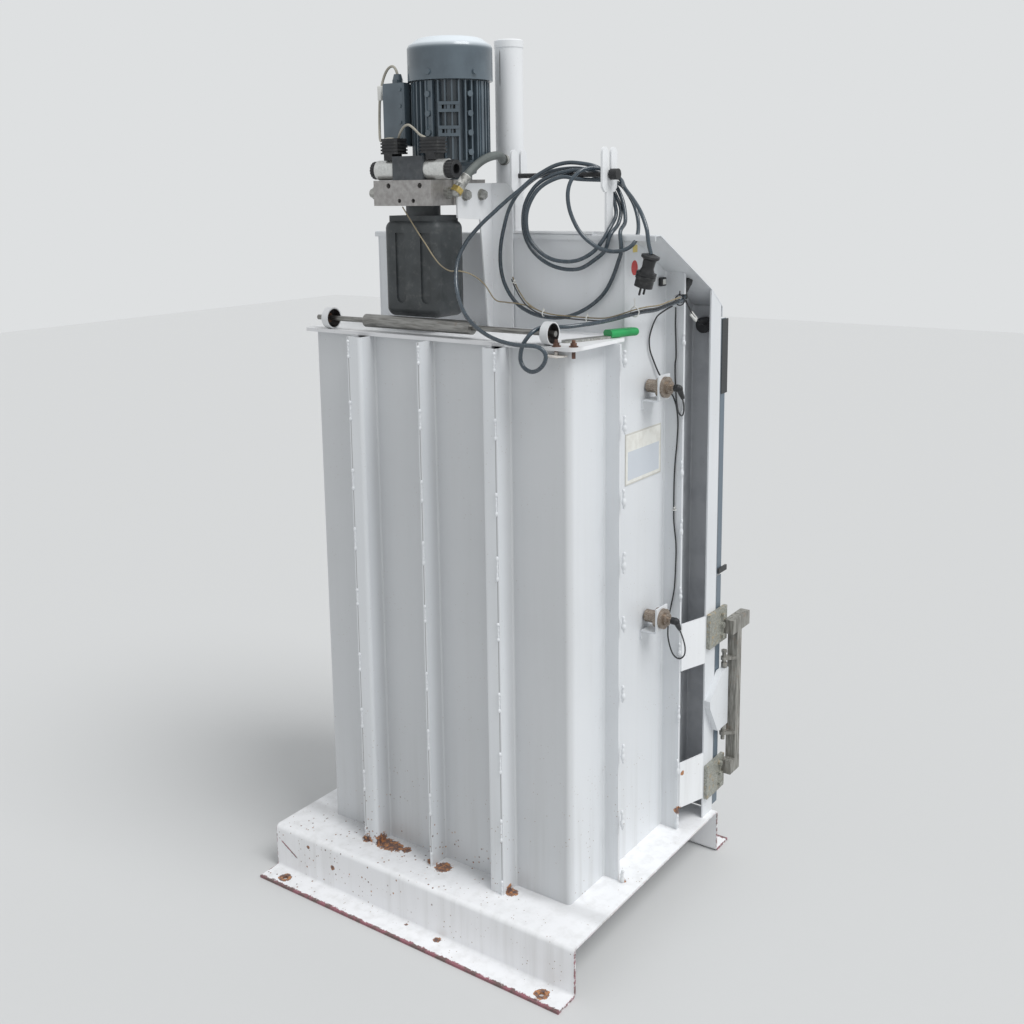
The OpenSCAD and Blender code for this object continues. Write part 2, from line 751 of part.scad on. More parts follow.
// Cylinder of diameter d between two points, drawn the same way as the turned parts
module rod_to(a, b, d, fn = 64) {
    v = b - a;
    translate(a) rotate([0, acos(v[2] / norm(v)), atan2(v[1], v[0])])
        cylinder(d = d, h = norm(v), $fn = fn);
}
module hose_fittings() {
    elbow = hose_elbow;
    v = hose_v;
    color(steel) {
        rod_to([mani_x - 0.1, elbow[1], elbow[2]], elbow, 18);
        rod_to([mani_x - 0.1, elbow[1], elbow[2]], [mani_x - 10, elbow[1], elbow[2]], 28, 6);
        translate(elbow) sphere(d = 22);
        rod_to(elbow, elbow + v * 22, 18);
        rod_to(elbow + v * 10, elbow + v * 21, 27, 6);
        rod_to(elbow + v * 21, hose_start - v * 0.2, 23);
        translate([-6, y_cyl, port_z]) rotate([-90, 0, 0]) difference() {
            translate([0, 0, cyl_d / 2 - 5]) cylinder(d = 26, h = 7.8);
            translate([6, 30, 0]) rotate([90, 0, 0]) cylinder(d = cyl_d + 0.4, h = 60);
        }
        bar_x(mani_x + mani_w + 0.1, mani_x + mani_w + 22, mani_y1 - 30, z_mani + 28, 30);
        bar_x(mani_x + mani_w + 22, mani_x + mani_w + 32, mani_y1 - 30, z_mani + 28, 20);
    }
}

// Power pack bracket: a foot against the head, a web and a bolted tab
module pack_bracket() {
    y0 = y_head + hood_t + 0.2;
    y1 = y0 + wall_t;
    zt = mani_top - 8;
    color(white) {
        difference() {
            box(-61, 0, y0, y1, z_shelf, zt);
            translate([-61, y1 + 1, zt]) rotate([90, 0, 0]) linear_extrude(wall_t + 2) difference() {
                translate([-1, -19]) square([20, 20]);
                translate([19, -19]) circle(r = 19);
            }
        }
        translate([-wall_t, 0, 0]) rotate([90, 0, 90]) linear_extrude(wall_t) difference() {
            polygon([
                [y1 - 0.1, z_shelf], [y_head + 26, z_shelf], [y_head + 52, z_mani - 34],
                [y_head + 136, z_mani - 28], [y_head + 136, zt], [y1 - 0.1, zt]
            ]);
            for (y = [y_head + 48, y_head + 108]) translate([y, z_mani + 22]) circle(d = 12.4);
        }
    }
}
module pack_bolts() {
    color(steel) for (y = [y_head + 48, y_head + 108]) {
        translate([-wall_t - 3, y, z_mani + 22]) rotate([0, 90, 0]) cylinder(d = 26, h = 3);
        translate([-wall_t - 12, y, z_mani + 22]) rotate([0, 90, 0]) cylinder(d = 22, h = 9.1, $fn = 6);
        bar_x(-wall_t - 0.1, 0.3, y, z_mani + 22, 12);
    }
}
// Blow-moulded tank with two pressed channels on its rear face
module pack_tank() {
    r = 20;
    color(dark) difference() {
        union() {
            hull() for (x = [r, tank_w - r], y = [r, tank_d - r], z = [r, tank_h - r])
                translate([tank_x + x, tank_y1 - tank_d + y, z_tank + z]) sphere(r = r, $fn = 28);
            translate([tank_x + 12, tank_y1 - tank_d + 12, z_tank + tank_h - 4])
                cube([tank_w - 24, tank_d - 24, 14]);
            translate([tank_x + tank_w / 2, tank_y1 - tank_d / 2, z_tank + tank_h])
                cylinder(d = 78, h = neck_h);
        }
        for (x = [0.21, 0.67])
            translate([tank_x + x * tank_w, tank_y1 - 4, z_tank + 32]) tank_channel(28);
    }
}
module tank_channel(w) {
    translate([0, 8, 0]) rotate([90, 0, 0]) linear_extrude(8) union() {
        translate([-w / 2, w / 2]) square([w, tank_h - 60 - w / 2]);
        translate([0, w / 2]) circle(d = w);
    }
}
// Manifold block with its four front ports
module manifold() {
    yb = y_head + 26;
    color(steel) difference() {
        union() {
            box(mani_x, mani_x + mani_w, mani_y1 - mani_d, mani_y1, z_mani, mani_top);
            box(0.3, motor_x + 62, yb, mani_y1 - mani_d + 1, z_mani, mani_top);
        }
        for (p = [[122, 44, 12], [32, 44, 12], [91, 11, 10], [51, 11, 10]])
            translate([mani_x + p[0], mani_y1 + 1, z_mani + p[1]]) rotate([90, 0, 0])
                cylinder(d = p[2], h = 18);
        translate([0.2, 0, z_mani + 22]) for (y = [y_head + 48, y_head + 108])
            translate([0, y, 0]) rotate([0, 90, 0]) cylinder(d = 12, h = 16);
    }
}
module valve_body() {
    color(dark) difference() {
        box(valve_x, valve_x + valve_w, mani_y1 - 45, mani_y1, mani_top, mani_top + 52);
        for (x = [valve_x + 12, valve_x + valve_w - 12], y = [mani_y1 - 36, mani_y1 - 9])
            translate([x, y, mani_top + 44]) cylinder(d = 8, h = 10);
    }
}
module solenoids() {
    color([0.78, 0.78, 0.76]) {
        bar_x(valve_x - sol_l, valve_x - 0.1, valve_y, valve_z, 44);
        bar_x(valve_x + valve_w + 0.1, valve_x + valve_w + sol_l, valve_y, valve_z, 44);
    }
}
// Black retaining nuts with grip ribs
module grip_nut(l) {
    linear_extrude(l) difference() {
        circle(d = 40);
        for (k = [0:17]) rotate(k * 20) translate([20.4, 0]) circle(d = 3.4, $fn = 16);
    }
}
module solenoid_nuts() {
    color(black) {
        translate([valve_x - sol_l - 0.1, valve_y, valve_z]) rotate([0, -90, 0]) difference() {
            grip_nut(20);
            translate([0, 0, 8]) cylinder(d = 22, h = 20);
        }
        translate([valve_x + valve_w + sol_l + 0.1, valve_y, valve_z]) rotate([0, 90, 0])
            difference() {
                grip_nut(14);
                translate([0, 0, 8]) cylinder(d = 22, h = 20);
            }
    }
}
module din_plug(side) {
    linear_extrude(14) translate([side * 4, 0]) square([24, 34], center = true);
    for (k = [0:3]) translate([0, 0, 13.9 + k * 7]) {
        linear_extrude(4) square([50, 34], center = true);
        linear_extrude(7.1) square([45, 30], center = true);
    }
    translate([0, 0, 41.9]) linear_extrude(6) square([48, 32], center = true);
}
module din_plugs() {
    color([0.2, 0.22, 0.23]) for (side = [-1, 1])
        translate([valve_x + valve_w / 2 + side * (valve_w / 2 + 13), valve_y, valve_z + 21])
            difference() {
                din_plug(side);
                translate([-30, 0, -21]) rotate([0, 90, 0]) cylinder(d = 44.2, h = 60);
            }
}
// Motor: bell, end shields and a finned frame with rows of mounting lugs
module motor_body() {
    r = motor_d / 2;
    color(blue_grey) translate([motor_x, motor_cy, 0]) {
        translate([0, 0, mani_top]) rotate_extrude() polygon([
            [0, 0], [46, 0], [46, 10], [56, 14], [60, bell_h - 12], [r - 13, bell_h - 4],
            [r - 13, bell_h + 0.1], [0, bell_h + 0.1]
        ]);
        translate([0, 0, z_motor]) linear_extrude(motor_l) union() {
            circle(r = r - 15);
            for (k = [0:fins - 1]) rotate(k * 360 / fins) translate([0, -1.8]) square([r, 3.6]);
            for (a = [93, 181, 357]) rotate(a) translate([0, -9]) square([r - 3, 18]);
        }
        for (z = [52, 104]) translate([0, 0, z_motor + z]) rotate([0, 0, 125]) {
            translate([r - 12, -23, 0]) cube([14, 46, 7]);
            translate([r - 12, -23, 16]) cube([14, 46, 7]);
            for (y = [-23, -4, 15]) translate([r - 12, y, 0]) cube([13, 8, 23]);
        }
        translate([40, 20, z_motor + 74]) cube([r - 38.8, 26, 80]);
        for (a = [93, 157], z = [18, 60, 102, 144])
            rotate([0, 0, a]) translate([r - 10, 0, z_motor + z]) rotate([0, 90, 0])
                cylinder(d = 13, h = 12);
    }
}
module fan_cowl() {
    r = cowl_d / 2;
    color(blue_grey) translate([motor_x, motor_cy, z_motor + motor_l]) difference() {
        union() {
            rotate_extrude() polygon([
                [0, 0.1], [motor_d / 2 - 16, 0.1], [motor_d / 2 - 16, 2], [r, 2],
                [r, cowl_h - 22], [r - 3, cowl_h - 16], [r - 22, cowl_h - 2],
                [r - 28, cowl_h], [0, cowl_h]
            ]);
            for (a = [98, 162, 280, 350]) rotate([0, 0, a]) translate([r - 1, 0, 18])
                rotate([0, 90, 0]) cylinder(d = 12, h = 6);
        }
        for (q = [18, 32, 46, 60]) translate([0, 0, cowl_h - 3]) difference() {
            cylinder(r = q + 5, h = 4);
            translate([0, 0, -1]) cylinder(r = q, h = 6);
            for (a = [0, 90]) rotate(a) translate([-100, -4, -1]) cube([200, 8, 6]);
        }
    }
}
module terminal_box() {
    x = motor_x + motor_d / 2 + 1.5;
    y = motor_cy;
    z = z_motor + 35;
    color(blue_grey) {
        translate([x, y, z]) linear_extrude(139) polygon([
            [0, 18], [46, 18], [50, 22], [50, 71], [42, 80], [-14, 80], [-18, 76],
            [-18, 56], [0, 48]
        ]);
        for (k = [0:3]) translate([x - 9, y + 79.9, z + 16 + k * 36]) rotate([-90, 0, 0])
            cylinder(d = 8, h = 3);
    }
    color(black) translate([x + 22, y + 50, z + 138.9]) {
        cylinder(d = 26, h = 9, $fn = 6);
        translate([0, 0, 8.9]) cylinder(d1 = 24, d2 = 17, h = 13);
    }
}

// Spool bar on the shelf
module spool_bar() {
    color(steel) {
        bar_x(cup_x + 40, 190, spool_y, spool_z, 12);
        bar_x(196, -tube_end, spool_y, spool_z, spool_d);
        bar_x(-tube_end + 6, -cup_x - 16, spool_y, spool_z, 12);
    }
}
module spool_cups() {
    color(white) for (x = [cup_x, -cup_x])
        translate([x + 10, spool_y, spool_z]) rotate([0, -90, 0]) rotate_extrude() polygon([
            [6.2, 0], [cup_d / 2 - 2, 0], [cup_d / 2, 2], [cup_d / 2, 20],
            [cup_d / 2 - 4, 20], [cup_d / 2 - 4, 4], [6.2, 4]
        ]);
}
// Strapping tool that lies on the shelf, with a green grip
tool_p = [-316, y_back - 58];
tool_a = 250.8;
module strap_tool() {
    color(steel) translate([tool_p[0], tool_p[1], z_shelf + 0.2]) rotate([0, 0, tool_a])
        difference() {
            union() {
                translate([0, -11, 0]) cube([112, 22, 5]);
                translate([0, 0, 0]) cylinder(d = 22, h = 5);
            }
            translate([0, 0, -1]) cylinder(d = 9, h = 8);
        }
}
module tool_grip() {
    color([0.08, 0.55, 0.28]) translate([tool_p[0], tool_p[1], z_shelf + 0.3])
        rotate([0, 0, tool_a]) translate([112.1, 0, 9]) rotate([0, 90, 0]) {
            linear_extrude(72) union() {
                square([18, 12], center = true);
                for (s = [-1, 1]) translate([0, s * 6]) circle(d = 18);
            }
            translate([0, 0, 72]) for (s = [-1, 1]) translate([0, s * 6, 0]) sphere(d = 18);
            translate([0, 6, 72]) rotate([90, 0, 0]) cylinder(d = 18, h = 12);
        }
}
module shelf_bolts() {
    color([0.5, 0.42, 0.36]) for (p = bolt_at)
        translate([p[0], p[1], z_shelf]) {
            cylinder(d = 19, h = 2);
            translate([0, 0, 2]) cylinder(d = 15, h = 6, $fn = 6);
            translate([0, 0, -24]) cylinder(d = 8, h = 38);
        }
    color(white) translate([-332, y_back + 6.5, z_shelf - 20]) difference() {
        cylinder(d = 48, h = 3);
        translate([-30, -36.1, -1]) cube([60, 30, 6]);
    }
}

// Hanger for cable and straps: two forks on the head and a rod
module fork(x, stem, foot) {
    translate([x - 2.5, hanger_y, z_head]) rotate([90, 0, 90]) linear_extrude(5) union() {
        translate([-stem / 2, 0]) square([stem, hanger_h - 30]);
        difference() {
            translate([-fork_w / 2, hanger_h - 38]) square([fork_w, 84]);
            translate([0, hanger_h]) circle(d = hanger_d + 0.8);
            translate([-hanger_d / 2 - 0.4, hanger_h]) square([hanger_d + 0.8, 80]);
            for (s = [-1, 1]) translate([s * fork_w / 2, hanger_h - 38]) rotate(45)
                square(15, center = true);
        }
        for (s = [-1, 1]) translate([s * (fork_w + hanger_d + 0.8) / 4, hanger_h + 45.9])
            circle(d = (fork_w - hanger_d - 0.8) / 2);
    }
    translate([x - 2.5, hanger_y - stem / 2, z_head]) cube([foot, stem, 5]);
}
module hanger_l() {
    color(white) translate([2 * hanger_xl, 0, 0]) mirror([1, 0, 0])
        fork(hanger_xl, 36, hanger_xl - hanger_xr - 30);
}
module hanger_r() { color(white) fork(hanger_xr, stem_w, 24); }
module hanger_rod() {
    color(black) {
        bar_x(hanger_xl + 14, hanger_xr - 18, hanger_y, hanger_z, hanger_d);
        bar_x(hanger_xr - 6, hanger_xr - 24, hanger_y, hanger_z, 24);
    }
}

// Proximity sensors on angle brackets, square to the side wall
sy = y_back - sensor_y;
module at_sensors() {
    for (z = [sensor_lo, sensor_hi]) translate([-x_wall, sy, base_h + z]) children();
}
module sensor_brackets() {
    color(white) at_sensors() difference() {
        union() {
            translate([0, 26, -30]) rotate([90, 0, 0]) linear_extrude(52)
                sheet2d([[-2, -22], [-2, 0], [-43, 0], [-43, 58]], 4, 5, 4);
        }
        translate([-50, 0, 0]) rotate([0, 90, 0]) cylinder(d = 30.4, h = 12);
    }
}
module sensors() {
    color([0.55, 0.48, 0.4]) at_sensors() {
        translate([-62, 0, 0]) rotate([0, 90, 0]) cylinder(d = 30, h = 58);
        translate([-40.9, 0, 0]) rotate([0, 90, 0]) cylinder(d = nut_d, h = 9);
        translate([-54.1, 0, 0]) rotate([0, 90, 0]) cylinder(d = nut_d, h = 9);
        translate([-71, 0, 0]) rotate([0, 90, 0]) cylinder(d = 15, h = 9.1);
    }
}

// Thin cables: each follows a few hand-set points
rib_x = -(x_wall + 29);
rib_y = y_rib_b + wall_t + 2.2;
tie_p = [-(x_wall + 31), y_rib_b + 6, notch_z - 12];
module angled_plug() {
    translate([-84, 0, 0]) rotate([0, 90, 0]) cylinder(d = 17, h = 12.9);
    translate([-80, 0, 0]) rotate([-20, 0, 0]) translate([0, 0, -32]) cylinder(d1 = 10, d2 = 15, h = 34);
}
function lead(z, top, dx) = concat(smooth([
    [-x_wall - 80, sy - 10, base_h + z - 28], [-x_wall - 80, sy - 18, base_h + z - 52],
    [-x_wall - 72, sy - 44, base_h + z - 76], [rib_x - 6, rib_y + 16, base_h + z - 72],
    [rib_x + dx, rib_y + 4, base_h + z - 36], [rib_x + dx, rib_y, base_h + z + 10]
], 3), [[rib_x + dx, rib_y, top]]);
module small_cables() {
    color(black) {
        at_sensors() angled_plug();
        tube(lead(sensor_hi, z_shelf + 40, 0), 4, 8);
        tube(lead(sensor_lo, z_shelf + 40, 6), 4, 8);
    }
    color([0.6, 0.6, 0.58]) tube(smooth([
        [170.5, 112, z_motor + 196], [174, 114, z_motor + 222], [186, 118, z_motor + 232],
        [210, 124, z_motor + 206], [222, 134, z_motor + 150], [220, 146, z_motor + 90],
        [190, 166, valve_z + 84], [150, 178, valve_z + 72.5], [127, 182, valve_z + 72]
    ], 2), 6, 8);
}

// Mains cable: from the gland round the side of the head, over the shelf and up
// to the hanger, where most of it hangs in loops, and down again to the plug
cable_d = 9;
plug_p = [-429, 6, 1548];
gland_s = 233;
gland_l = 29;
gland_y = y_flat - gland_s * cos(hood_slope) + (gland_l + hood_t) * sin(hood_slope);
gland_z = z_head - gland_s * sin(hood_slope) - (gland_l + hood_t) * cos(hood_slope);
gland_p = [-(x_wall + 37), gland_y, gland_z];
run_a = [
    gland_p, [-393, -219, 1440], [-396, -209, 1434], [-400, -193, 1431], [-400, -170, 1431],
    [-394, -139, 1426], [-387, -90, 1419], [-382, -41, 1419], [-375, 8, 1416], [-363, 48, 1411],
    [-354, 98, 1408], [-338, 141, 1406], [-318, 168, 1404], [-295, 184, 1404],
    [-289, 200, 1404], [-287, 215, 1405], [-286, 230, 1403], [-283, 242, 1398],
    [-278, 250, 1389], [-270, 254, 1376], [-264, 255, 1360], [-263, 256, 1341],
    [-273, 258, 1326], [-291, 259, 1319], [-309, 260, 1324], [-324, 262, 1337],
    [-331, 264, 1353], [-327, 267, 1366], [-313, 269, 1373], [-292, 269, 1374],
    [-265, 267, 1373], [-234, 263, 1375], [-203, 258, 1380], [-169, 251, 1389],
    [-135, 243, 1404], [-105, 232, 1422], [-78, 217, 1447], [-55, 199, 1477], [-41, 182, 1510],
    [-36, 164, 1542], [-42, 141, 1576], [-59, 114, 1610], [-79, 89, 1638], [-100, 65, 1665],
    [-120, 43, 1688], [-137, 24, 1709]
];
run_b = [
    [-248, 10, 1720], [-257, -6, 1729], [-269, -24, 1731], [-282, -41, 1728], [-293, -61, 1718],
    [-313, -66, 1705], [-334, -46, 1687], [-364, -30, 1663], [-392, -14, 1636], [-414, 0, 1603],
    [-422, 5, 1572], plug_p
];
module mains_cable() {
    color([0.2, 0.24, 0.27]) {
        tube(run_a, cable_d, 8);
        tube(run_b, cable_d, 8);
    }
}
// Outer shape of the hanging loops, with the saddle that lies on the rod
coil_c = [-198, 1570];
module cable_coil() {
    color([0.2, 0.24, 0.27]) {
        translate([0, 32, 0]) rotate([90, 0, 0]) linear_extrude(26) difference() {
            translate(coil_c) circle(r = 167);
            translate([coil_c[0] - 6, coil_c[1] + 22]) circle(r = 96);
        }
        box(-250, -150, hanger_y - 12, 8, hanger_z + hanger_d / 2 + 0.3, hanger_z + 18);
    }
}
// Gland under the hood, where the mains cable comes out
module cable_gland() {
    color(dark) on_panel(-(x_wall + 37), gland_s) translate([0, 0, -hood_t - 0.05])
        rotate([180, 0, 0]) {
            cylinder(d = 26, h = 9, $fn = 6);
            translate([0, 0, 8.9]) cylinder(d1 = 22, d2 = 13, h = gland_l - 9);
        }
}
// Moulded two-pin plug that hangs from the end of the cable
module mains_plug() {
    color(black) translate(plug_p) rotate([0, -15, 0]) rotate([180, 0, 0]) {
        rotate_extrude() polygon([
            [0, 0], [11, 0], [20, 3], [20, 8], [14, 12], [13, 30], [19, 44], [22, 48],
            [22, 54], [20, 56], [20, 72], [0, 72]
        ]);
        translate([0, 0, 40]) cylinder(d = 44, h = 6);
    }
    color(steel) translate(plug_p) rotate([0, -15, 0]) rotate([180, 0, 0])
        for (s = [-1, 1]) translate([0, s * 9.5, 71]) {
            cylinder(d = 4.8, h = 17);
            translate([0, 0, 17]) sphere(d = 4.8, $fn = 24);
        }
}
module side_plate() {
    color([0.8, 0.8, 0.78]) box(-x_wall, -(x_wall + 1.5), y_head - 4, y_head - 170,
        base_h + side_plate_z, base_h + side_plate_z + side_plate_h);
}

// Piston rod and press plate
ram_top = z_shelf - shelf_t - ram_top_gap;
ram_z = ram_top - ram_h;
module piston_rod() {
    color([0.8, 0.8, 0.8]) translate([0, y_cyl, 0]) {
        translate([0, 0, ram_z + 24]) cylinder(d = rod_d, h = cyl_z0 + cyl_l - 50 - ram_z - 24);
        translate([0, 0, cyl_z0 + cyl_l - 52]) cylinder(d = cyl_d - 2 * cyl_wall - 2 * pin_fit, h = 30);
    }
}
module press_plate() {
    xi = x_wall - wall_t - ram_gap;
    y0 = y_front + wall_t + ram_gap;
    y1 = y_back - wall_t - ram_gap;
    color([0.75, 0.77, 0.79]) difference() {
        union() {
            box(-xi, xi, y0, y1, ram_z, ram_z + 26);
            for (x = [-xi, -strap_x - 60, -70, 58, strap_x + 48, xi - 12])
                box(x, x + 12, y0 + 8, y1 - 8, ram_z + 25, ram_z + ram_h);
            for (y = [y0 + 8, y_cyl - 66, y_cyl + 54, y1 - 20])
                box(-xi + 1, xi - 1, y, y + 12, ram_z + 25, ram_z + ram_h);
            translate([0, y_cyl, ram_z + 10]) cylinder(d = rod_d + 44, h = ram_h - 14);
        }
        translate([0, y_cyl, ram_z + 24]) cylinder(d = rod_d, h = ram_h);
        for (s = [-1, 1])
            box(s * strap_x - groove_w / 2, s * strap_x + groove_w / 2,
                y0 - 1, y1 + 1, ram_z - 1, ram_z + 14);
    }
}

base_plate();
floor_strips();
pan_mid_l();
pan_mid_r();
pan_corner_l();
pan_corner_r();
pan_side_l();
pan_side_r();
post_l();
post_r();
bridge_plates();
top_shelf();
head_back();
hood();
door_switch();
latch_ear();
latch_pin();
hinge_pintles();
side_plate();
cyl_flange();
cyl_barrel();
hose();
hose_fittings();
pack_bracket();
pack_bolts();
pack_tank();
manifold();
valve_body();
solenoids();
solenoid_nuts();
din_plugs();
motor_body();
fan_cowl();
terminal_box();
spool_bar();
spool_cups();
strap_tool();
tool_grip();
shelf_bolts();
hanger_l();
hanger_r();
hanger_rod();
sensor_brackets();
sensors();
small_cables();
cable_gland();
mains_cable();
cable_coil();
mains_plug();
piston_rod();
press_plate();
loading_door();
door_edge();
bale_door();
latch_frame();
latch_jaws();
control_bezels();
stop_button();
start_button();
key_switch();
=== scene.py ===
# %% [markdown]
# # Dressing a recycling baler
# The frame holds every rigid part of the machine in its true place and size, and
# this lesson gives each part its finish. It then adds what plain solids can't
# show well: the mains cable, the thin leads, weld stitches, cable ties, sensor
# plugs and small marks. Lengths are in metres. X runs across the machine, Y from
# the doors to the back wall, and Z up from the floor.

# %% Load the frame and keep its box
import math

import bpy
from mathutils import Matrix, Vector


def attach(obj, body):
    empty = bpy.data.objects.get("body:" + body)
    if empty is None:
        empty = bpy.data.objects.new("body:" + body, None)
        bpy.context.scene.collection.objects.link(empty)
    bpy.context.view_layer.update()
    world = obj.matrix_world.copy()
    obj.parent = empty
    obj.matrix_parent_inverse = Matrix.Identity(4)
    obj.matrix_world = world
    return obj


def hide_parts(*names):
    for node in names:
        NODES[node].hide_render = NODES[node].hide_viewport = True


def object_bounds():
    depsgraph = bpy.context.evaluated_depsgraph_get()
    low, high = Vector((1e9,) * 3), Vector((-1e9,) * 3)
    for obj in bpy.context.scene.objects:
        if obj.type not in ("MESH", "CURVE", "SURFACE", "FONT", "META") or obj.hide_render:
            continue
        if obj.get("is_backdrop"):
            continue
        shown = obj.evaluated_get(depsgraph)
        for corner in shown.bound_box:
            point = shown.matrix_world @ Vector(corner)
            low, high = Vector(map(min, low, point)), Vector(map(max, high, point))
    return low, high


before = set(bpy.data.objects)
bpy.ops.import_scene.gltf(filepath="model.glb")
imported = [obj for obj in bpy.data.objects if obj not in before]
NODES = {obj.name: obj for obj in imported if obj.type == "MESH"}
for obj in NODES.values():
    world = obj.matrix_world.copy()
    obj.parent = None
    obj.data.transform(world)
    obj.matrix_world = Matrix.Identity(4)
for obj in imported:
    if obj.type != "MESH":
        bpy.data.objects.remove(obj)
cad_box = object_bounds()
print("parts in the frame:", len(NODES))
print("box of the solids:", [[round(v, 3) for v in corner] for corner in cad_box])

# %% [markdown]
# ## Camera
# The photographer stood behind the machine, on the side of the latch, at eye
# height. The camera's place, turn and lens were solved from the straight edges
# of the machine. The middle of the photo lies lower than the lens axis, so the
# camera has a small shift instead of a steeper pitch, which keeps uprights true.

# %% Camera
EYE = (-1.6502, 2.2381, 1.6901)
YAW = 144.57
PITCH = 10.34
ROLL = -0.7219
LENS_MM = 41.65
SENSOR_MM = 36.0
SHIFT = -0.1053


def camera_axes(yaw, pitch, roll):
    """The camera's right, up and ahead directions, from three angles in degrees."""
    y, p, r = map(math.radians, (yaw, pitch, roll))
    ahead = Vector((math.sin(y) * math.cos(p), math.cos(y) * math.cos(p), -math.sin(p)))
    level = Vector((math.cos(y), -math.sin(y), 0.0))
    above = level.cross(ahead)
    right = math.cos(r) * level + math.sin(r) * above
    up = math.cos(r) * above - math.sin(r) * level
    return right, up, ahead


right, up, ahead = camera_axes(YAW, PITCH, ROLL)
camera_data = bpy.data.cameras.new("camera")
camera = bpy.data.objects.new("camera", camera_data)
bpy.context.scene.collection.objects.link(camera)
turn = Matrix((right, up, -ahead)).transposed().to_4x4()
camera.matrix_world = Matrix.Translation(EYE) @ turn
camera_data.sensor_width = SENSOR_MM
camera_data.lens = LENS_MM
camera_data.shift_y = SHIFT
camera_data.clip_start = 0.05
bpy.context.scene.camera = camera
bpy.context.scene.view_settings.view_transform = "Standard"
print("camera looks along", [round(c, 3) for c in ahead])

# %% [markdown]
# ## The mains cable
# The real cable is a 9 mm rubber-sheathed lead. It leaves the machine through a
# gland on the left-hand side of the head, runs along the shelf, drops through a
# loop over the shelf's edge and hangs in turns over the rod between two forks,
# with its plug at the free end. A cable is a fixed length of something flexible,
# so it is not a solid to be pushed about: its route is a list of points that it
# passes, in millimetres, the same as in the part's source. A smooth curve through
# them is its centreline, and the curve's bevel gives it its thickness. The size of
# the bevel is carried by the points' radius, because a curve's measured box
# grows by that radius.

# %% The route of the mains cable
ROUTE = [
    (-392, -225, 1451), (-393, -219, 1440), (-396, -209, 1434), (-400, -193, 1431),
    (-400, -170, 1431), (-394, -139, 1426), (-387, -90, 1419), (-382, -41, 1419),
    (-375, 8, 1416), (-363, 48, 1411), (-354, 98, 1408), (-338, 141, 1406),
    (-318, 168, 1404), (-295, 184, 1404), (-289, 200, 1404), (-287, 215, 1405),
    (-286, 230, 1403), (-283, 242, 1398), (-278, 250, 1389), (-270, 254, 1376),
    (-264, 255, 1360), (-263, 256, 1341), (-273, 258, 1326), (-291, 259, 1319),
    (-309, 260, 1324), (-324, 262, 1337), (-331, 264, 1353), (-327, 267, 1366),
    (-313, 269, 1373), (-292, 269, 1374), (-265, 267, 1373), (-234, 263, 1375),
    (-203, 258, 1380), (-169, 251, 1389), (-135, 243, 1404), (-105, 232, 1422),
    (-78, 217, 1447), (-55, 199, 1477), (-41, 182, 1510), (-36, 164, 1542),
    (-42, 141, 1576), (-59, 114, 1610), (-79, 89, 1638), (-100, 65, 1665), (-120, 43, 1688),
    (-137, 24, 1709), (-156, 7, 1725), (-178, -7, 1738), (-204, -20, 1744),
    (-231, -31, 1742), (-257, -43, 1736), (-276, -54, 1724), (-290, -66, 1704),
    (-309, -66, 1678), (-326, -57, 1648), (-339, -40, 1614), (-347, -5, 1594),
    (-352, -1, 1555), (-343, -2, 1527), (-328, -3, 1492), (-308, -2, 1460),
    (-280, -1, 1435), (-246, 2, 1415), (-209, 6, 1403), (-171, 10, 1401), (-133, 14, 1407),
    (-97, 19, 1424), (-71, 21, 1450), (-53, 22, 1484), (-45, 21, 1523), (-46, 19, 1564),
    (-54, 16, 1605), (-66, 13, 1643), (-85, 9, 1674), (-108, 2, 1697), (-136, -6, 1716),
    (-164, -16, 1726), (-193, -29, 1731), (-223, -40, 1731), (-252, -52, 1725),
    (-271, -63, 1713), (-287, -65, 1691), (-304, -63, 1667), (-319, -56, 1639),
    (-324, -35, 1609), (-324, -1, 1587), (-313, 2, 1554), (-287, 5, 1532), (-256, 10, 1514),
    (-223, 15, 1511), (-189, 20, 1518), (-160, 24, 1533), (-135, 27, 1556),
    (-119, 28, 1586), (-114, 27, 1619), (-118, 25, 1652), (-132, 20, 1681),
    (-150, 12, 1702), (-174, -1, 1716), (-200, -14, 1724), (-227, -30, 1727),
    (-254, -44, 1715), (-274, -54, 1702), (-292, -55, 1681), (-305, -52, 1655),
    (-313, -44, 1627), (-315, -13, 1600), (-308, 7, 1573), (-286, 11, 1549),
    (-253, 17, 1532), (-218, 24, 1529), (-185, 30, 1536), (-159, 34, 1553),
    (-139, 37, 1577), (-130, 37, 1606), (-131, 36, 1637), (-141, 32, 1665),
    (-156, 24, 1688), (-177, 12, 1704), (-203, -2, 1713), (-229, -18, 1708),
    (-255, -34, 1706), (-278, -44, 1705), (-294, -56, 1703), (-312, -68, 1694),
    (-329, -71, 1674), (-347, -67, 1648), (-363, -54, 1618), (-377, -29, 1591),
    (-379, -7, 1569), (-364, 8, 1556), (-340, 18, 1553), (-314, 24, 1559), (-292, 29, 1572),
    (-271, 33, 1591), (-254, 36, 1618), (-242, 36, 1648), (-238, 34, 1678),
    (-240, 25, 1703), (-248, 10, 1720), (-257, -6, 1729), (-269, -24, 1731),
    (-282, -41, 1728), (-293, -61, 1718), (-313, -66, 1705), (-334, -46, 1687),
    (-364, -30, 1663), (-392, -14, 1636), (-414, 0, 1603), (-422, 5, 1572), (-429, 6, 1548),
]
CABLE_D = 0.009


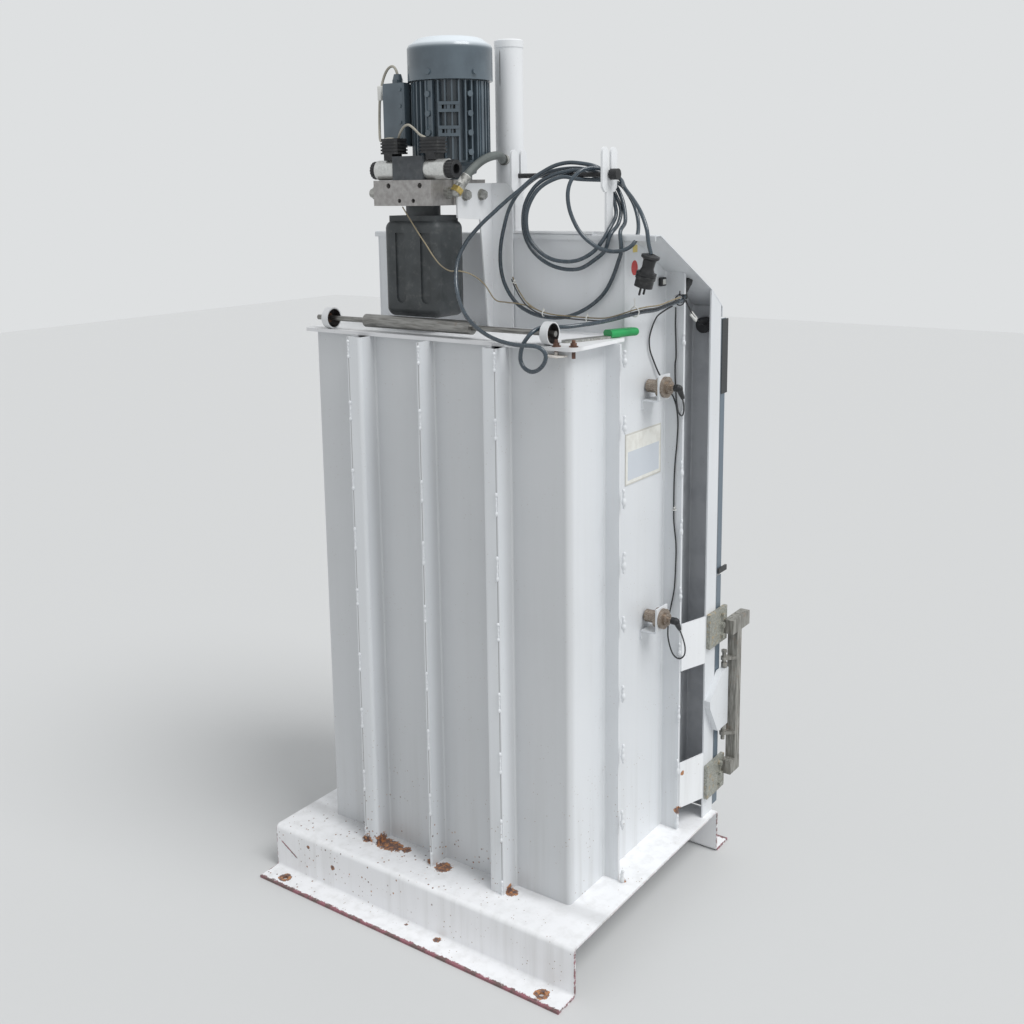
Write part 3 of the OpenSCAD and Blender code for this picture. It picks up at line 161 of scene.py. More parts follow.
def smooth_line(points, steps):
    """A smooth line through points in millimetres, given back in metres."""
    p = [Vector(q) / 1000 for q in points]
    p = [2 * p[0] - p[1]] + p + [2 * p[-1] - p[-2]]
    line = []
    for i in range(1, len(p) - 2):
        a, b, c, d = p[i - 1 : i + 3]
        for k in range(steps):
            t = k / steps
            straight = 2 * b + (c - a) * t
            square = (2 * a - 5 * b + 4 * c - d) * t * t
            cube = (3 * b - a - 3 * c + d) * t**3
            line.append(0.5 * (straight + square + cube))
    return line + [p[-2]]


def length_of(line):
    return sum((b - a).length for a, b in zip(line, line[1:]))


def lay_curve(name, line, diameter, sides):
    """A round cord along a line. sides is the fineness of its section."""
    data = bpy.data.curves.new(name, "CURVE")
    data.dimensions = "3D"
    spline = data.splines.new("POLY")
    spline.points.add(len(line) - 1)
    for point, place in zip(spline.points, line):
        point.co = (*place, 1.0)
        point.radius = diameter / 2
    data.bevel_depth = 1.0
    data.bevel_resolution = sides
    data.use_fill_caps = True
    piece = bpy.data.objects.new(name, data)
    bpy.context.scene.collection.objects.link(piece)
    return piece


cable_line = smooth_line(ROUTE, 5)
cable = lay_curve("cable_run", cable_line, CABLE_D, 3)
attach(cable, "machine")
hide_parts("mains_cable", "cable_coil")
length_of(cable_line)
print("mains cable:", round(length_of(cable_line), 3), "m along its centreline")

# %% [markdown]
# ## Floor, sky and sun
# The floor is a plain pale sheet and the sky a plain white one. One soft sun
# stands above the latch side, so the side wall is the brighter one, the back
# wall the darker one and the tops nearly white, as in the photo. What the camera
# and reflections see is a paler backdrop than the glow that lights the machine.
# The levels are low enough that a colour renders about as it is written.

# %% Floor, sky and sun
SKY_GLOW = 0.64
SUN_STRENGTH = 1.85
SUN_ANGLE = 0.55
TO_SUN = (-0.55, 0.03, 0.83)


def deselect():
    if bpy.context.object and bpy.context.object.mode != "OBJECT":
        bpy.ops.object.mode_set(mode="OBJECT")
    bpy.ops.object.select_all(action="DESELECT")


def linear(r, g, b):
    """A colour as it looks on screen, 0 to 255, as the linear values that Blender uses."""
    levels = []
    for c in (r / 255, g / 255, b / 255):
        levels.append(c / 12.92 if c <= 0.04045 else ((c + 0.055) / 1.055) ** 2.4)
    return (*levels, 1.0)


deselect()
bpy.ops.mesh.primitive_plane_add(size=24, location=(0, 0, 0))
floor = bpy.context.object
floor.name = "floor"
floor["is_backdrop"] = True
floor_paint = bpy.data.materials.new("floor")
floor_paint.use_nodes = True
floor_shader = floor_paint.node_tree.nodes["Principled BSDF"]
floor_shader.inputs["Base Color"].default_value = linear(204, 205, 205)
floor_shader.inputs["Roughness"].default_value = 0.7
floor.data.materials.append(floor_paint)

world = bpy.data.worlds.new("sky")
bpy.context.scene.world = world
world.use_nodes = True
sky = world.node_tree
sky.nodes.clear()
sky_out = sky.nodes.new("ShaderNodeOutputWorld")
light_path = sky.nodes.new("ShaderNodeLightPath")
glow = sky.nodes.new("ShaderNodeBackground")
glow.inputs["Color"].default_value = (0.97, 0.985, 1.0, 1.0)
glow.inputs["Strength"].default_value = SKY_GLOW
backdrop = sky.nodes.new("ShaderNodeBackground")
backdrop.inputs["Color"].default_value = linear(222, 224, 225)
seen = light_path.outputs["Is Camera Ray"]
for kind in ("Is Glossy Ray", "Is Transmission Ray"):
    either = sky.nodes.new("ShaderNodeMath")
    either.operation = "MAXIMUM"
    sky.links.new(seen, either.inputs[0])
    sky.links.new(light_path.outputs[kind], either.inputs[1])
    seen = either.outputs[0]
blend = sky.nodes.new("ShaderNodeMixShader")
sky.links.new(seen, blend.inputs[0])
sky.links.new(glow.outputs[0], blend.inputs[1])
sky.links.new(backdrop.outputs[0], blend.inputs[2])
sky.links.new(blend.outputs[0], sky_out.inputs[0])

sun_data = bpy.data.lights.new("sun", "SUN")
sun_data.energy = SUN_STRENGTH
sun_data.angle = SUN_ANGLE
sun = bpy.data.objects.new("sun", sun_data)
bpy.context.scene.collection.objects.link(sun)
sun.rotation_euler = Vector(TO_SUN).to_track_quat("Z", "Y").to_euler()
print("stage ready, sun strength", sun_data.energy)

# %% [markdown]
# ## A short way to write materials
# A material is a network of small nodes. Linking them by hand hides the idea, so
# two small classes let the network be written as arithmetic: a `Value` is one
# output of a node, and adding or multiplying values adds the nodes that do it.
# A `Finish` is one material, and its `node` method adds any other kind of node.

# %% Values
def feed(tree, socket, value):
    """Links a value to a socket, or sets the socket to a plain number or colour."""
    if isinstance(value, Value):
        tree.links.new(value.socket, socket)
    elif value is not None:
        socket.default_value = value


class Value:
    """One output of a node, on which arithmetic can be written."""

    def __init__(self, tree, socket):
        self.tree = tree
        self.socket = socket

    def math(self, operation, *others, clamp=False):
        node = self.tree.nodes.new("ShaderNodeMath")
        node.operation = operation
        node.use_clamp = clamp
        for socket, value in zip(node.inputs, others):
            feed(self.tree, socket, value)
        return Value(self.tree, node.outputs[0])

    def __add__(self, other):
        return self.math("ADD", self, other)

    def __radd__(self, other):
        return self.math("ADD", other, self)

    def __sub__(self, other):
        return self.math("SUBTRACT", self, other)

    def __rsub__(self, other):
        return self.math("SUBTRACT", other, self)

    def __mul__(self, other):
        return self.math("MULTIPLY", self, other)

    def __rmul__(self, other):
        return self.math("MULTIPLY", other, self)

    def __pow__(self, other):
        return self.math("POWER", self, other)

    def __abs__(self):
        return self.math("ABSOLUTE", self)

    def most(self, other):
        return self.math("MAXIMUM", self, other)

    def clamp(self):
        return self.math("ADD", self, 0.0, clamp=True)


print("arithmetic on node outputs:", [m for m in vars(Value) if not m.startswith("__")])

# %% [markdown]
# Every pattern reads the place of the surface on the machine, in metres, so it
# stays with the part when a door opens and carries on from one sheet to the next.
# `ramp` turns a value into a mask that rises from 0 to 1, and `near` is a mask
# round one point of the machine.

# %% Finishes
class Finish:
    """A material: uniform values are keywords, varying ones are linked afterwards."""

    def __init__(self, name, roughness=0.5, metallic=0.0, coat=0.0):
        self.material = bpy.data.materials.new(name)
        self.material.use_nodes = True
        self.tree = self.material.node_tree
        self.shader = self.tree.nodes["Principled BSDF"]
        self.shader.inputs["Roughness"].default_value = roughness
        self.shader.inputs["Metallic"].default_value = metallic
        self.shader.inputs["Coat Weight"].default_value = coat
        self.shader.inputs["Coat Roughness"].default_value = 0.12
        where = self.tree.nodes.new("ShaderNodeTexCoord")
        self.place = Value(self.tree, where.outputs["Object"])

    def node(self, kind, settings=None, inputs=None, out=0):
        node = self.tree.nodes.new("ShaderNode" + kind)
        for key, value in (settings or {}).items():
            setattr(node, key, value)
        for key, value in (inputs or {}).items():
            feed(self.tree, node.inputs[key], value)
        return Value(self.tree, node.outputs[out])

    def axis(self, letter):
        return self.node("SeparateXYZ", inputs={0: self.place}, out="XYZ".index(letter))

    def stretch(self, x, y, z):
        return self.node("Mapping", inputs={"Vector": self.place, "Scale": (x, y, z)})

    def noise(self, scale, detail=3.0, rough=0.5, at=None):
        fields = {"Vector": at or self.place, "Scale": scale, "Detail": detail, "Roughness": rough}
        return self.node("TexNoise", inputs=fields)

    def cells(self, scale):
        """The distance to the nearest of many scattered points."""
        return self.node("TexVoronoi", inputs={"Vector": self.place, "Scale": scale})

    def ramp(self, value, low, high):
        """0 at low and 1 at high, with a soft rise between them."""
        fields = {0: value, 1: low, 2: high, 3: 0.0, 4: 1.0}
        return self.node("MapRange", {"interpolation_type": "SMOOTHSTEP"}, fields)

    def near(self, point, inner, outer, stretch=(1, 1, 1)):
        """1 within inner of a point of the machine, and 0 further than outer."""
        off = self.node("VectorMath", {"operation": "SUBTRACT"}, {0: self.place, 1: point})
        off = self.node("VectorMath", {"operation": "MULTIPLY"}, {0: off, 1: stretch})
        far = self.node("VectorMath", {"operation": "LENGTH"}, {0: off}, out=1)
        return self.ramp(far, outer, inner)

    def mix(self, amount, first, second):
        return self.node("Mix", {"data_type": "RGBA"}, {0: amount, 6: first, 7: second}, out=2)

    def bump(self, height, strength, distance):
        fields = {"Height": height, "Strength": strength, "Distance": distance}
        return self.node("Bump", inputs=fields)

    def set(self, **values):
        for key, value in values.items():
            feed(self.tree, self.shader.inputs[key.replace("_", " ").title()], value)
        return self


def wear(finish, *names):
    """Gives CAD parts this finish. Their meshes stay as they are."""
    for name in names:
        part = NODES[name]
        part.data.materials.clear()
        part.data.materials.append(finish.material)
        dressed.append(name)


dressed = []
print("a finish can make:", [m for m in vars(Finish) if not m.startswith("__")])

# %% [markdown]
# ## White powder coat
# Nearly the whole machine is folded sheet in one light grey-white powder coat.
# Up close it has a fine orange peel, slightly uneven colour, grey dust that
# gathers low down, small brown specks, and rust where water stands: at the feet
# of the ribs, around the floor bolts and along the lower edges of the foot. All
# of it is placed by height and place on the machine, so it belongs to the part.
# The masks come first. Each rusty place is a point and the reach of its stain,
# and a ragged noise eats into its edge.

# %% Rust, chips and the scratch
RUST = linear(190, 132, 84)
BARE = linear(104, 84, 80)
MAUVE = linear(148, 92, 102)
RUSTY_PLACES = (
    ((-0.026, 0.258, 0.117), 0.036),
    ((-0.218, 0.250, 0.117), 0.026),
    ((0.205, 0.262, 0.117), 0.030),
    ((0.012, 0.252, 0.117), 0.022),
    ((0.095, 0.250, 0.117), 0.022),
    ((0.253, 0.344, 0.061), 0.011),
    ((0.335, 0.344, 0.088), 0.008),
    ((0.120, 0.352, 0.014), 0.012),
    ((0.010, 0.356, 0.010), 0.010),
    ((-0.085, 0.360, 0.007), 0.016),
    ((-0.432, -0.302, 0.405), 0.018),
    ((-0.403, -0.206, 0.165), 0.018),
    ((-0.405, -0.214, 0.262), 0.012),
    ((-0.405, 0.068, 0.120), 0.014),
)
FLOOR_BOLT_X = 0.385
FLOOR_BOLT_Y = 0.378
SCRATCH_X = 0.402
SCRATCH_Z = 0.060


def rust_marks(f, rag):
    """Flakes at the rusty places and the floor bolts, and fine spatter round the rib feet."""
    spots = f.near((0.148, 0.256, 0.118), 0.010, 0.058, (0.72, 1.5, 1.6))
    for point, reach in RUSTY_PLACES:
        spots = spots.most(f.near(point, reach * 0.15, reach))
    for side in (-1, 1):
        for end in (-1, 1):
            hole = (FLOOR_BOLT_X * side, FLOOR_BOLT_Y * end, 0.003)
            spots = spots.most(f.near(hole, 0.0125, 0.024) * 0.8)
    flakes = f.ramp(spots + (rag - 0.5) * 1.9, 0.42, 0.56) * f.ramp(spots, 0.02, 0.08)
    around = f.near((0.10, 0.265, 0.117), 0.06, 0.26, (0.7, 1.6, 1.6))
    around = around.most(f.near((0.35, 0.36, 0.05), 0.03, 0.15))
    spatter = f.ramp(f.cells(80), 0.24, 0.13) * f.ramp(f.noise(17, 3), 0.47, 0.58)
    return flakes.most(spatter * f.ramp(around, 0.0, 0.5))


def chipped_edge(f, rag):
    """Paint broken off along the edges of the foot flanges and the ends of the base."""
    to_side = 0.406 - abs(f.axis("Y"))
    to_end = 0.445 - abs(f.axis("X"))
    low = f.ramp(f.axis("Z"), 0.009, 0.006)
    flange = f.ramp(rag * 0.026 - to_side, 0.0045, 0.0075) * low
    ends = f.ramp(rag * 0.011 - to_end, 0.0042, 0.0055) * f.ramp(f.axis("Z"), 0.118, 0.100)
    return flange.most(ends)


def skirt_scratch(f, rag):
    """One slanting scratch at the left end of the foot's skirt."""
    x = f.axis("X") - SCRATCH_X
    z = f.axis("Z") - SCRATCH_Z
    along = abs(x * 0.868 + z * 0.496)
    across = abs(x * 0.496 - z * 0.868 + (rag - 0.5) * 0.006)
    back_face = f.ramp(f.axis("Y"), 0.33, 0.34)
    return f.ramp(along, 0.034, 0.026) * f.ramp(across, 0.0032, 0.0012) * back_face


print("rusty places:", len(RUSTY_PLACES) + 5)

# %% [markdown]
# The coat itself is built up layer by layer: clean colour, dust in streaks, a flat darker grey on
# the faces set back between the ribs, then specks, chips and rust. The same masks roughen the
# surface and lift or lower it. Parts with a mark of their own hand in a function that gives more
# masks and tints.

# %% The coat
def white_paint(name, tone=(223, 226, 229), dirt=1.0, extra=None):
    f = Finish(name, roughness=0.36, coat=0.15)
    broad = f.noise(2.3, 3)
    fine = f.noise(38, 5, 0.62)
    rag = f.noise(105, 7, 0.72)
    streaks = f.noise(1.0, 5, 0.6, at=f.stretch(34, 34, 1.6))
    low = f.ramp(f.axis("Z"), 0.55, 0.0)

    shaded = linear(*(c - 6 for c in tone))
    colour = f.mix(f.ramp(broad, 0.35, 0.68), linear(*tone), shaded)
    dusty = (low * 0.22 + 0.05) * f.ramp(streaks, 0.42, 0.72) * dirt
    colour = f.mix(dusty.clamp(), colour, linear(168, 166, 160))
    # a flat darker grey on the faces set back between the ribs, set by depth alone
    recess = f.ramp(f.axis("Y"), 0.262, 0.225) * f.ramp(f.axis("Y"), 0.19, 0.215) * 0.4
    colour = f.mix(recess, colour, linear(172, 173, 174))
    specks = f.ramp(f.cells(80), 0.150, 0.08) * f.ramp(f.noise(9, 2), 0.46, 0.58)
    colour = f.mix((specks * (low * 0.8 + 0.2) * dirt).clamp(), colour, linear(140, 112, 88))

    edge = chipped_edge(f, rag)
    rusty = rust_marks(f, rag)
    broken = skirt_scratch(f, rag).most(edge)
    colour = f.mix(broken.clamp(), colour, f.mix(f.ramp(fine, 0.4, 0.6), MAUVE, BARE))
    colour = f.mix(rusty.clamp(), colour, f.mix(f.ramp(rag, 0.47, 0.6), BARE, RUST))
    for mask, tint in extra(f) if extra else ():
        colour = f.mix(mask.clamp(), colour, tint)

    f.set(base_color=colour, roughness=0.34 + fine * 0.1 + dusty * 0.3 + rusty * 0.35)
    lift = f.noise(520, 2, 0.5) * 0.4 + fine * 0.25 + rusty * 1.5 - edge * 0.8
    return f.set(normal=f.bump(lift, 0.12, 0.0008))


def painted_channel_shade(f):
    """Painted shade inside the open posts: the faces in the channel are darkened towards grey,
    most of all in the corner, and noise breaks the grey into patches.
    """
    x = abs(f.axis("X"))
    y = f.axis("Y")
    inside = f.ramp(x, 0.4290, 0.4270) * f.ramp(x, 0.3540, 0.3546) * f.ramp(y, -0.206, -0.212)
    # painted shade that deepens towards the corner of the channel
    corner = f.ramp(y, -0.290, -0.334)
    # painted shade in patches, laid by noise over the inside of the channel
    shade_patches = f.ramp(f.noise(16, 5, 0.65), 0.42, 0.7)
    return [
        (inside * corner * 0.42, linear(78, 78, 84)),
        (inside * shade_patches * 0.3, linear(130, 130, 138)),
    ]


def seam_lines(f):
    """Between the stitches the two sheets of a seam leave a fine dark gap."""
    x = abs(f.axis("X"))
    face = f.ramp(f.axis("Y"), 0.2660, 0.2690)
    outer = f.ramp(abs(x - 0.2060), 0.0016, 0.0006)
    middle = f.ramp(x, 0.0016, 0.0006)
    return [(outer.most(middle) * face * 0.62, linear(104, 100, 98))]


def barrel_drip(f):
    """A dark scratch runs down the barrel from its cap."""
    wander = (f.noise(30) - 0.5) * 0.002
    line = f.ramp(abs(f.axis("X") - 0.0023 + wander), 0.0018, 0.0007)
    reach = f.ramp(abs(f.axis("Z") - 1.962), 0.045, 0.032) * f.ramp(f.axis("Y"), -0.060, -0.056)
    return [(line * reach * 0.8, linear(84, 76, 76))]


def door_edges(f):
    """The free edges of both doors are bare blue-grey under the coat of the faces."""
    return [(f.ramp(abs(f.axis("X")), 0.4280, 0.4286), linear(98, 112, 124))]


def dark_cups(f):
    """The cups are white outside and black with a brown hub inside."""
    y = f.axis("Y") - 0.216
    z = f.axis("Z") - 1.3948
    reach = (y * y + z * z) ** 0.5
    inside = f.ramp(reach, 0.0222, 0.0212)
    return [(inside, linear(46, 44, 44)), (f.ramp(reach, 0.0125, 0.0105), linear(112, 78, 58))]


paint = white_paint("white_paint")
# A lighter copy of the coat, with less dust, for the base, the shelf and the floor strips: it
# paints on their tops the light that falls from above.
base_paint = white_paint("base_paint", (243, 244, 246), 0.8)
# The posts, the hood and the pan sides carry painted shade inside their channels.
post_paint = white_paint("post_paint", extra=painted_channel_shade)
door_paint = white_paint("door_paint", extra=door_edges)
cup_paint = white_paint("cup_paint", (232, 234, 236), extra=dark_cups)
seam_paint = white_paint("seam_paint", extra=seam_lines)
# A lighter copy of the coat: it paints on the barrel, the pack's bracket, the bridge plates and
# the hangers more light than the lamps give them.
barrel_paint = white_paint("barrel_paint", (236, 238, 240), extra=barrel_drip)
wear(base_paint, "base_plate", "top_shelf", "floor_strips")
wear(post_paint, "post_l", "post_r", "hood", "pan_side_l", "pan_side_r")
wear(seam_paint, "pan_mid_l", "pan_mid_r", "pan_corner_l", "pan_corner_r")
wear(barrel_paint, "cyl_barrel", "cyl_flange", "pack_bracket", "bridge_plates")
wear(barrel_paint, "hanger_l", "hanger_r")
wear(door_paint, "loading_door", "bale_door")
wear(cup_paint, "spool_cups")
wear(paint, "head_back", "latch_ear", "sensor_brackets", "press_plate")
print("parts in white powder coat:", len(dressed))

# %% [markdown]
# ## Steels
# Bare steel on a machine that stands indoors is never one colour. Turned and
# rolled parts keep fine lines along their length, handled parts turn brown in
# blotches, and zinc plating yellows unevenly. Each finish mixes two or three
# tones by noise and lets the same noise roughen the surface. `grain` squeezes the
# pattern along one axis, which draws it out into lines along that axis.

# %% Bare, worn, plated and dark steel
def steel(name, light, dark, rust, amount, roughness, metallic, grain=(1, 1, 1), scale=60):
    """Three screen colours, how much of the third shows, and how the surface shines."""
    f = Finish(name, roughness=roughness, metallic=metallic)
    blotch = f.noise(scale, 5, 0.65)
    lines = f.noise(scale * 4, 4, 0.6, at=f.stretch(*grain))
    colour = f.mix(f.ramp(lines, 0.3, 0.7), linear(*dark), linear(*light))
    rusted = f.ramp(blotch, 0.62 - amount * 0.3, 0.78 - amount * 0.3)
    colour = f.mix(rusted * min(1.0, 0.35 + amount), colour, linear(*rust))
    f.set(base_color=colour, roughness=roughness + lines * 0.12 + rusted * 0.25)
    f.set(metallic=metallic - rusted * metallic * 0.7)
    return f.set(normal=f.bump(lines * 0.6 + rusted, 0.16, 0.0006))


bare = steel(
    "bare_steel", (190, 190, 186), (146, 146, 142), (134, 108, 88), 0.06,
    roughness=0.42, metallic=0.85, grain=(0.15, 1, 1),
)
bar = steel(
    "bar_steel", (158, 157, 154), (118, 117, 114), (120, 102, 88), 0.08,
    roughness=0.26, metallic=0.9, grain=(0.1, 1, 1),
)
worn = steel(
    "worn_steel", (164, 163, 157), (108, 106, 101), (132, 108, 88), 0.16,
    roughness=0.5, metallic=0.35, grain=(1, 1, 0.12), scale=42,
)
jaws = steel(
    "jaw_steel", (176, 178, 170), (132, 132, 124), (176, 150, 108), 0.3,
    roughness=0.42, metallic=0.35, scale=70,
)
dark_steel = steel(
    "dark_steel", (78, 80, 81), (54, 56, 57), (92, 72, 58), 0.1,
    roughness=0.45, metallic=0.4, scale=90,
)
chrome = steel(
    "rod_chrome", (226, 228, 230), (206, 208, 210), (180, 178, 170), 0.0,
    roughness=0.12, metallic=1.0, grain=(1, 1, 8),
)
nickel = steel(
    "sensor_nickel", (176, 166, 154), (122, 106, 94), (84, 62, 52), 0.2,
    roughness=0.34, metallic=0.7, scale=110,
)
brass = steel(
    "brass_nut", (206, 184, 116), (168, 146, 88), (120, 96, 66), 0.08,
    roughness=0.3, metallic=0.7, scale=80,
)
zinc = steel(
    "coil_zinc", (218, 219, 216), (196, 197, 195), (160, 152, 142), 0.03,
    roughness=0.27, metallic=0.6, scale=50,
)
cast = steel(
    "port_steel", (172, 170, 168), (150, 147, 145), (134, 116, 104), 0.03,
    roughness=0.4, metallic=0.5, scale=22,
)
wear(bare, "hose_fittings", "pack_bolts", "strap_tool")
wear(bar, "spool_bar")
wear(worn, "latch_frame", "hinge_pintles", "latch_pin")
wear(jaws, "latch_jaws")
wear(dark_steel, "cable_gland", "door_edge", "key_switch")
wear(chrome, "piston_rod")
wear(nickel, "sensors")
wear(zinc, "solenoids")
wear(cast, "manifold")
print("parts dressed so far:", len(dressed))

# %% [markdown]
# Two parts carry fields of different colour. The plate on the side wall is a bare
# sheet in a pale frame, with a cooler field where such a plate has its print. The
# two bolts through the shelf are rusty, and the washer under the shelf keeps part
# of its white coat. Both are plain distances on the machine turned into masks.

# %% The side plate and the shelf bolts
PLATE_Y = -0.099
FIELD_Z = 1.070
PLATE_Z = 1.086


def framed_plate():
    f = Finish("side_plate", roughness=0.3, coat=0.2)
    y = abs(f.axis("Y") - PLATE_Y)
    z = f.axis("Z")
    field = f.ramp(y, 0.0735, 0.0725) * f.ramp(abs(z - FIELD_Z), 0.0335, 0.0325)
    rim = f.ramp(y, 0.0790, 0.0800).most(f.ramp(abs(z - PLATE_Z), 0.0550, 0.0560))
    yellowed = f.ramp(f.noise(60, 4), 0.4, 0.7)
    colour = f.mix(yellowed, linear(232, 232, 226), linear(222, 221, 214))
    colour = f.mix(field, colour, linear(203, 209, 216))
    return f.set(base_color=f.mix(rim * 0.5, colour, linear(168, 164, 154)))


def rusty_bolts():
    f = Finish("shelf_bolts", roughness=0.55, metallic=0.1)
    washer = f.ramp(f.axis("Z"), 1.3600, 1.3580) * f.ramp(abs(f.axis("X") + 0.332), 0.030, 0.028)
    brown = f.mix(f.ramp(f.noise(90, 4), 0.35, 0.7), linear(84, 62, 54), linear(124, 88, 70))
    stained = f.ramp(f.noise(150, 5, 0.7), 0.56, 0.7)
    coated = f.mix(stained, linear(214, 210, 204), linear(130, 92, 70))
    return f.set(base_color=f.mix(washer, brown, coated))


wear(framed_plate(), "side_plate")
wear(rusty_bolts(), "shelf_bolts")
print("parts dressed so far:", len(dressed))

# %% [markdown]
# ## Enamel, plastics and rubber
# The motor has a thick blue-grey enamel that pools in the casting's texture. The
# tank is blow-moulded plastic with a soft satin, and the plugs, nuts and knobs
# are harder moulded plastic. Rubber and cable sheath are smoother, so they show
# long highlights; a little dust on top breaks these up.

# %% Paints and plastics
def moulded(name, colour, darker, roughness, coat=0.0, dust=0.2, pit=0.03, scale=140):
    """Two screen colours, the shine, and how much dust and how deep a texture it has."""
    f = Finish(name, roughness=roughness, coat=coat)
    tone = f.noise(scale * 0.12, 4, 0.55)
    grit = f.noise(scale, 5, 0.6)
    shade = f.mix(f.ramp(tone, 0.35, 0.7), linear(*colour), linear(*darker))
    dusty = f.ramp(f.noise(scale * 0.3, 5, 0.65), 0.5, 0.8) * dust
    shade = f.mix(dusty, shade, linear(150, 150, 146))
    f.set(base_color=shade, roughness=roughness + grit * 0.14 + dusty * 0.4)
    return f.set(normal=f.bump(grit, pit, 0.0008))


def motor_enamel():
    """A painted highlight: the rounded top of the fan cowl is painted nearly white where the sky
    glints on it, and the rest is blue-grey.
    """
    blue, deep, pale = linear(88, 101, 110), linear(70, 82, 91), linear(226, 234, 240)
    f = moulded("motor_enamel", (88, 101, 110), (70, 82, 91), 0.3, 0.5, 0.16, 0.25, 90)
    z = f.axis("Z")
    # painted highlight on the rounded top of the cowl
    top = f.mix(f.ramp(z, 1.994, 2.010) * 0.95, blue, pale)
    lower = f.mix(f.ramp(f.noise(11, 4), 0.35, 0.7), blue, deep)
    return f.set(base_color=f.mix(f.ramp(z, 1.990, 1.998), lower, top))


enamel = motor_enamel()
satin = moulded("tank_plastic", (62, 66, 68), (50, 54, 56), 0.42, dust=0.2, pit=0.1, scale=200)
black = moulded("black_plastic", (34, 35, 38), (26, 27, 29), 0.38, dust=0.18, pit=0.06)
valve_iron = moulded(
    "valve_iron", (74, 78, 82), (56, 60, 64), 0.48, dust=0.15, pit=0.3, scale=240
)
sheath = moulded("cable_sheath", (58, 71, 81), (44, 55, 64), 0.2, coat=0.5, dust=0.08, scale=60)
thin_black = moulded("thin_lead", (40, 42, 45), (30, 32, 34), 0.34, coat=0.2, dust=0.1)
thin_pale = moulded("pale_lead", (176, 172, 160), (150, 146, 134), 0.4, coat=0.1)
thin_tan = moulded("tan_lead", (150, 138, 112), (120, 110, 90), 0.45)
yellow = moulded("yellow_mark", (226, 206, 120), (206, 188, 116), 0.5)
tie_white = moulded("tie_white", (226, 226, 222), (206, 206, 202), 0.4, coat=0.1, dust=0.1)
rubber = moulded(
    "hose_rubber", (104, 110, 108), (86, 92, 90), 0.42, dust=0.25, pit=0.08, scale=120
)
green_grip = moulded(
    "grip_green", (26, 158, 84), (16, 128, 68), 0.32, coat=0.2, dust=0.08, pit=0.04
)
red_cap = moulded("button_red", (196, 34, 30), (170, 26, 24), 0.3, coat=0.2, dust=0.06, pit=0.04)
green_cap = moulded(
    "button_green", (36, 140, 66), (26, 118, 54), 0.3, coat=0.2, dust=0.06, pit=0.04
)
wear(enamel, "motor_body", "fan_cowl", "terminal_box")
wear(satin, "pack_tank")
wear(black, "door_switch", "solenoid_nuts", "din_plugs", "mains_plug", "hanger_rod")
wear(black, "control_bezels", "small_cables")
wear(valve_iron, "valve_body")
wear(rubber, "hose")
wear(green_grip, "tool_grip")
wear(red_cap, "stop_button")
wear(green_cap, "start_button")
cable.data.materials.append(sheath.material)
print("parts dressed:", len(dressed), "left plain:", sorted(set(NODES) - set(dressed)))

# %% [markdown]
# ## Helpers for modelled pieces
# Each extra piece starts as a primitive at its size and place, is shaped with
# joins, tapers and applied modifiers, and ends with its place in its mesh, so it
# sits where the frame says without any fitting. `settle` does that last step.

# %% Modelling helpers
def settle(piece, name, finish, slot, *modifiers):
    """Applies place and modifiers, shades the piece smooth and hangs it on the machine."""
    deselect()
    piece.select_set(True)
    bpy.context.view_layer.objects.active = piece
    bpy.ops.object.transform_apply(location=True, rotation=True, scale=True)
    for kind, settings in modifiers:
        modifier = piece.modifiers.new(kind.lower(), kind)
        for key, value in settings.items():
            setattr(modifier, key, value)
        bpy.ops.object.modifier_apply(modifier=modifier.name)
    bpy.ops.object.shade_smooth_by_angle(angle=math.radians(40))
    piece.name = name
    piece.data.name = name
    piece.data.materials.clear()
    piece.data.materials.append(finish.material)
    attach(piece, "machine")
    return piece


def bevel(width, segments):
    return "BEVEL", {"width": width, "segments": segments}


def voxels(size):
    return "REMESH", {"mode": "VOXEL", "voxel_size": size}


def softened(times):
    return "SMOOTH", {"factor": 0.5, "iterations": times}


def joined(parts):
    deselect()
    for part in parts:
        part.select_set(True)
    bpy.context.view_layer.objects.active = parts[0]
    bpy.ops.object.join()
    return parts[0]


def ball(place, radius, stretch=(1, 1, 1)):
    deselect()
    bpy.ops.mesh.primitive_uv_sphere_add(
        segments=16, ring_count=10, radius=radius, location=place
    )
    bpy.context.object.scale = stretch
    return bpy.context.object


def rod(place, radius, length, turn=(0, 0, 0), tip=None, sides=24):
    """A round bar, tapered to the radius tip where one is given."""
    deselect()
    bpy.ops.mesh.primitive_cone_add(
        vertices=sides,
        radius1=radius,
        radius2=radius if tip is None else tip,
        depth=length,
        location=place,
        rotation=turn,
    )
    return bpy.context.object


def block(place, size, turn=(0, 0, 0)):
    deselect()
    bpy.ops.mesh.primitive_cube_add(size=1, location=place, rotation=turn)
    bpy.context.object.scale = size
    return bpy.context.object


print("helpers ready")

# %% [markdown]
# ## Weld stitches
# The walls are folded sheets that meet at the ribs, and each seam is closed with
# short stitches instead of one long weld, which would warp the sheet. A stitch
# starts and ends in a drop, and the paint rounds it off. One stitch could be a
# swept bead, but the real ones are uneven, so it is built from drops and a bar
# that a voxel remesh fuses. The side seams have a heavier, lumpier stitch. Each is
# modelled once and copied along its seams, a little turned and stretched.

# %% Weld stitches
STITCH = 0.042
PITCH = 0.151
FIRST = 1.338
COUNT = 9
RIB_FACE = 0.2704
SIDE_RIB = 0.206


def fused(drops, name, cell):
    return settle(joined(drops), name, paint, "white_paint", voxels(cell), softened(4))


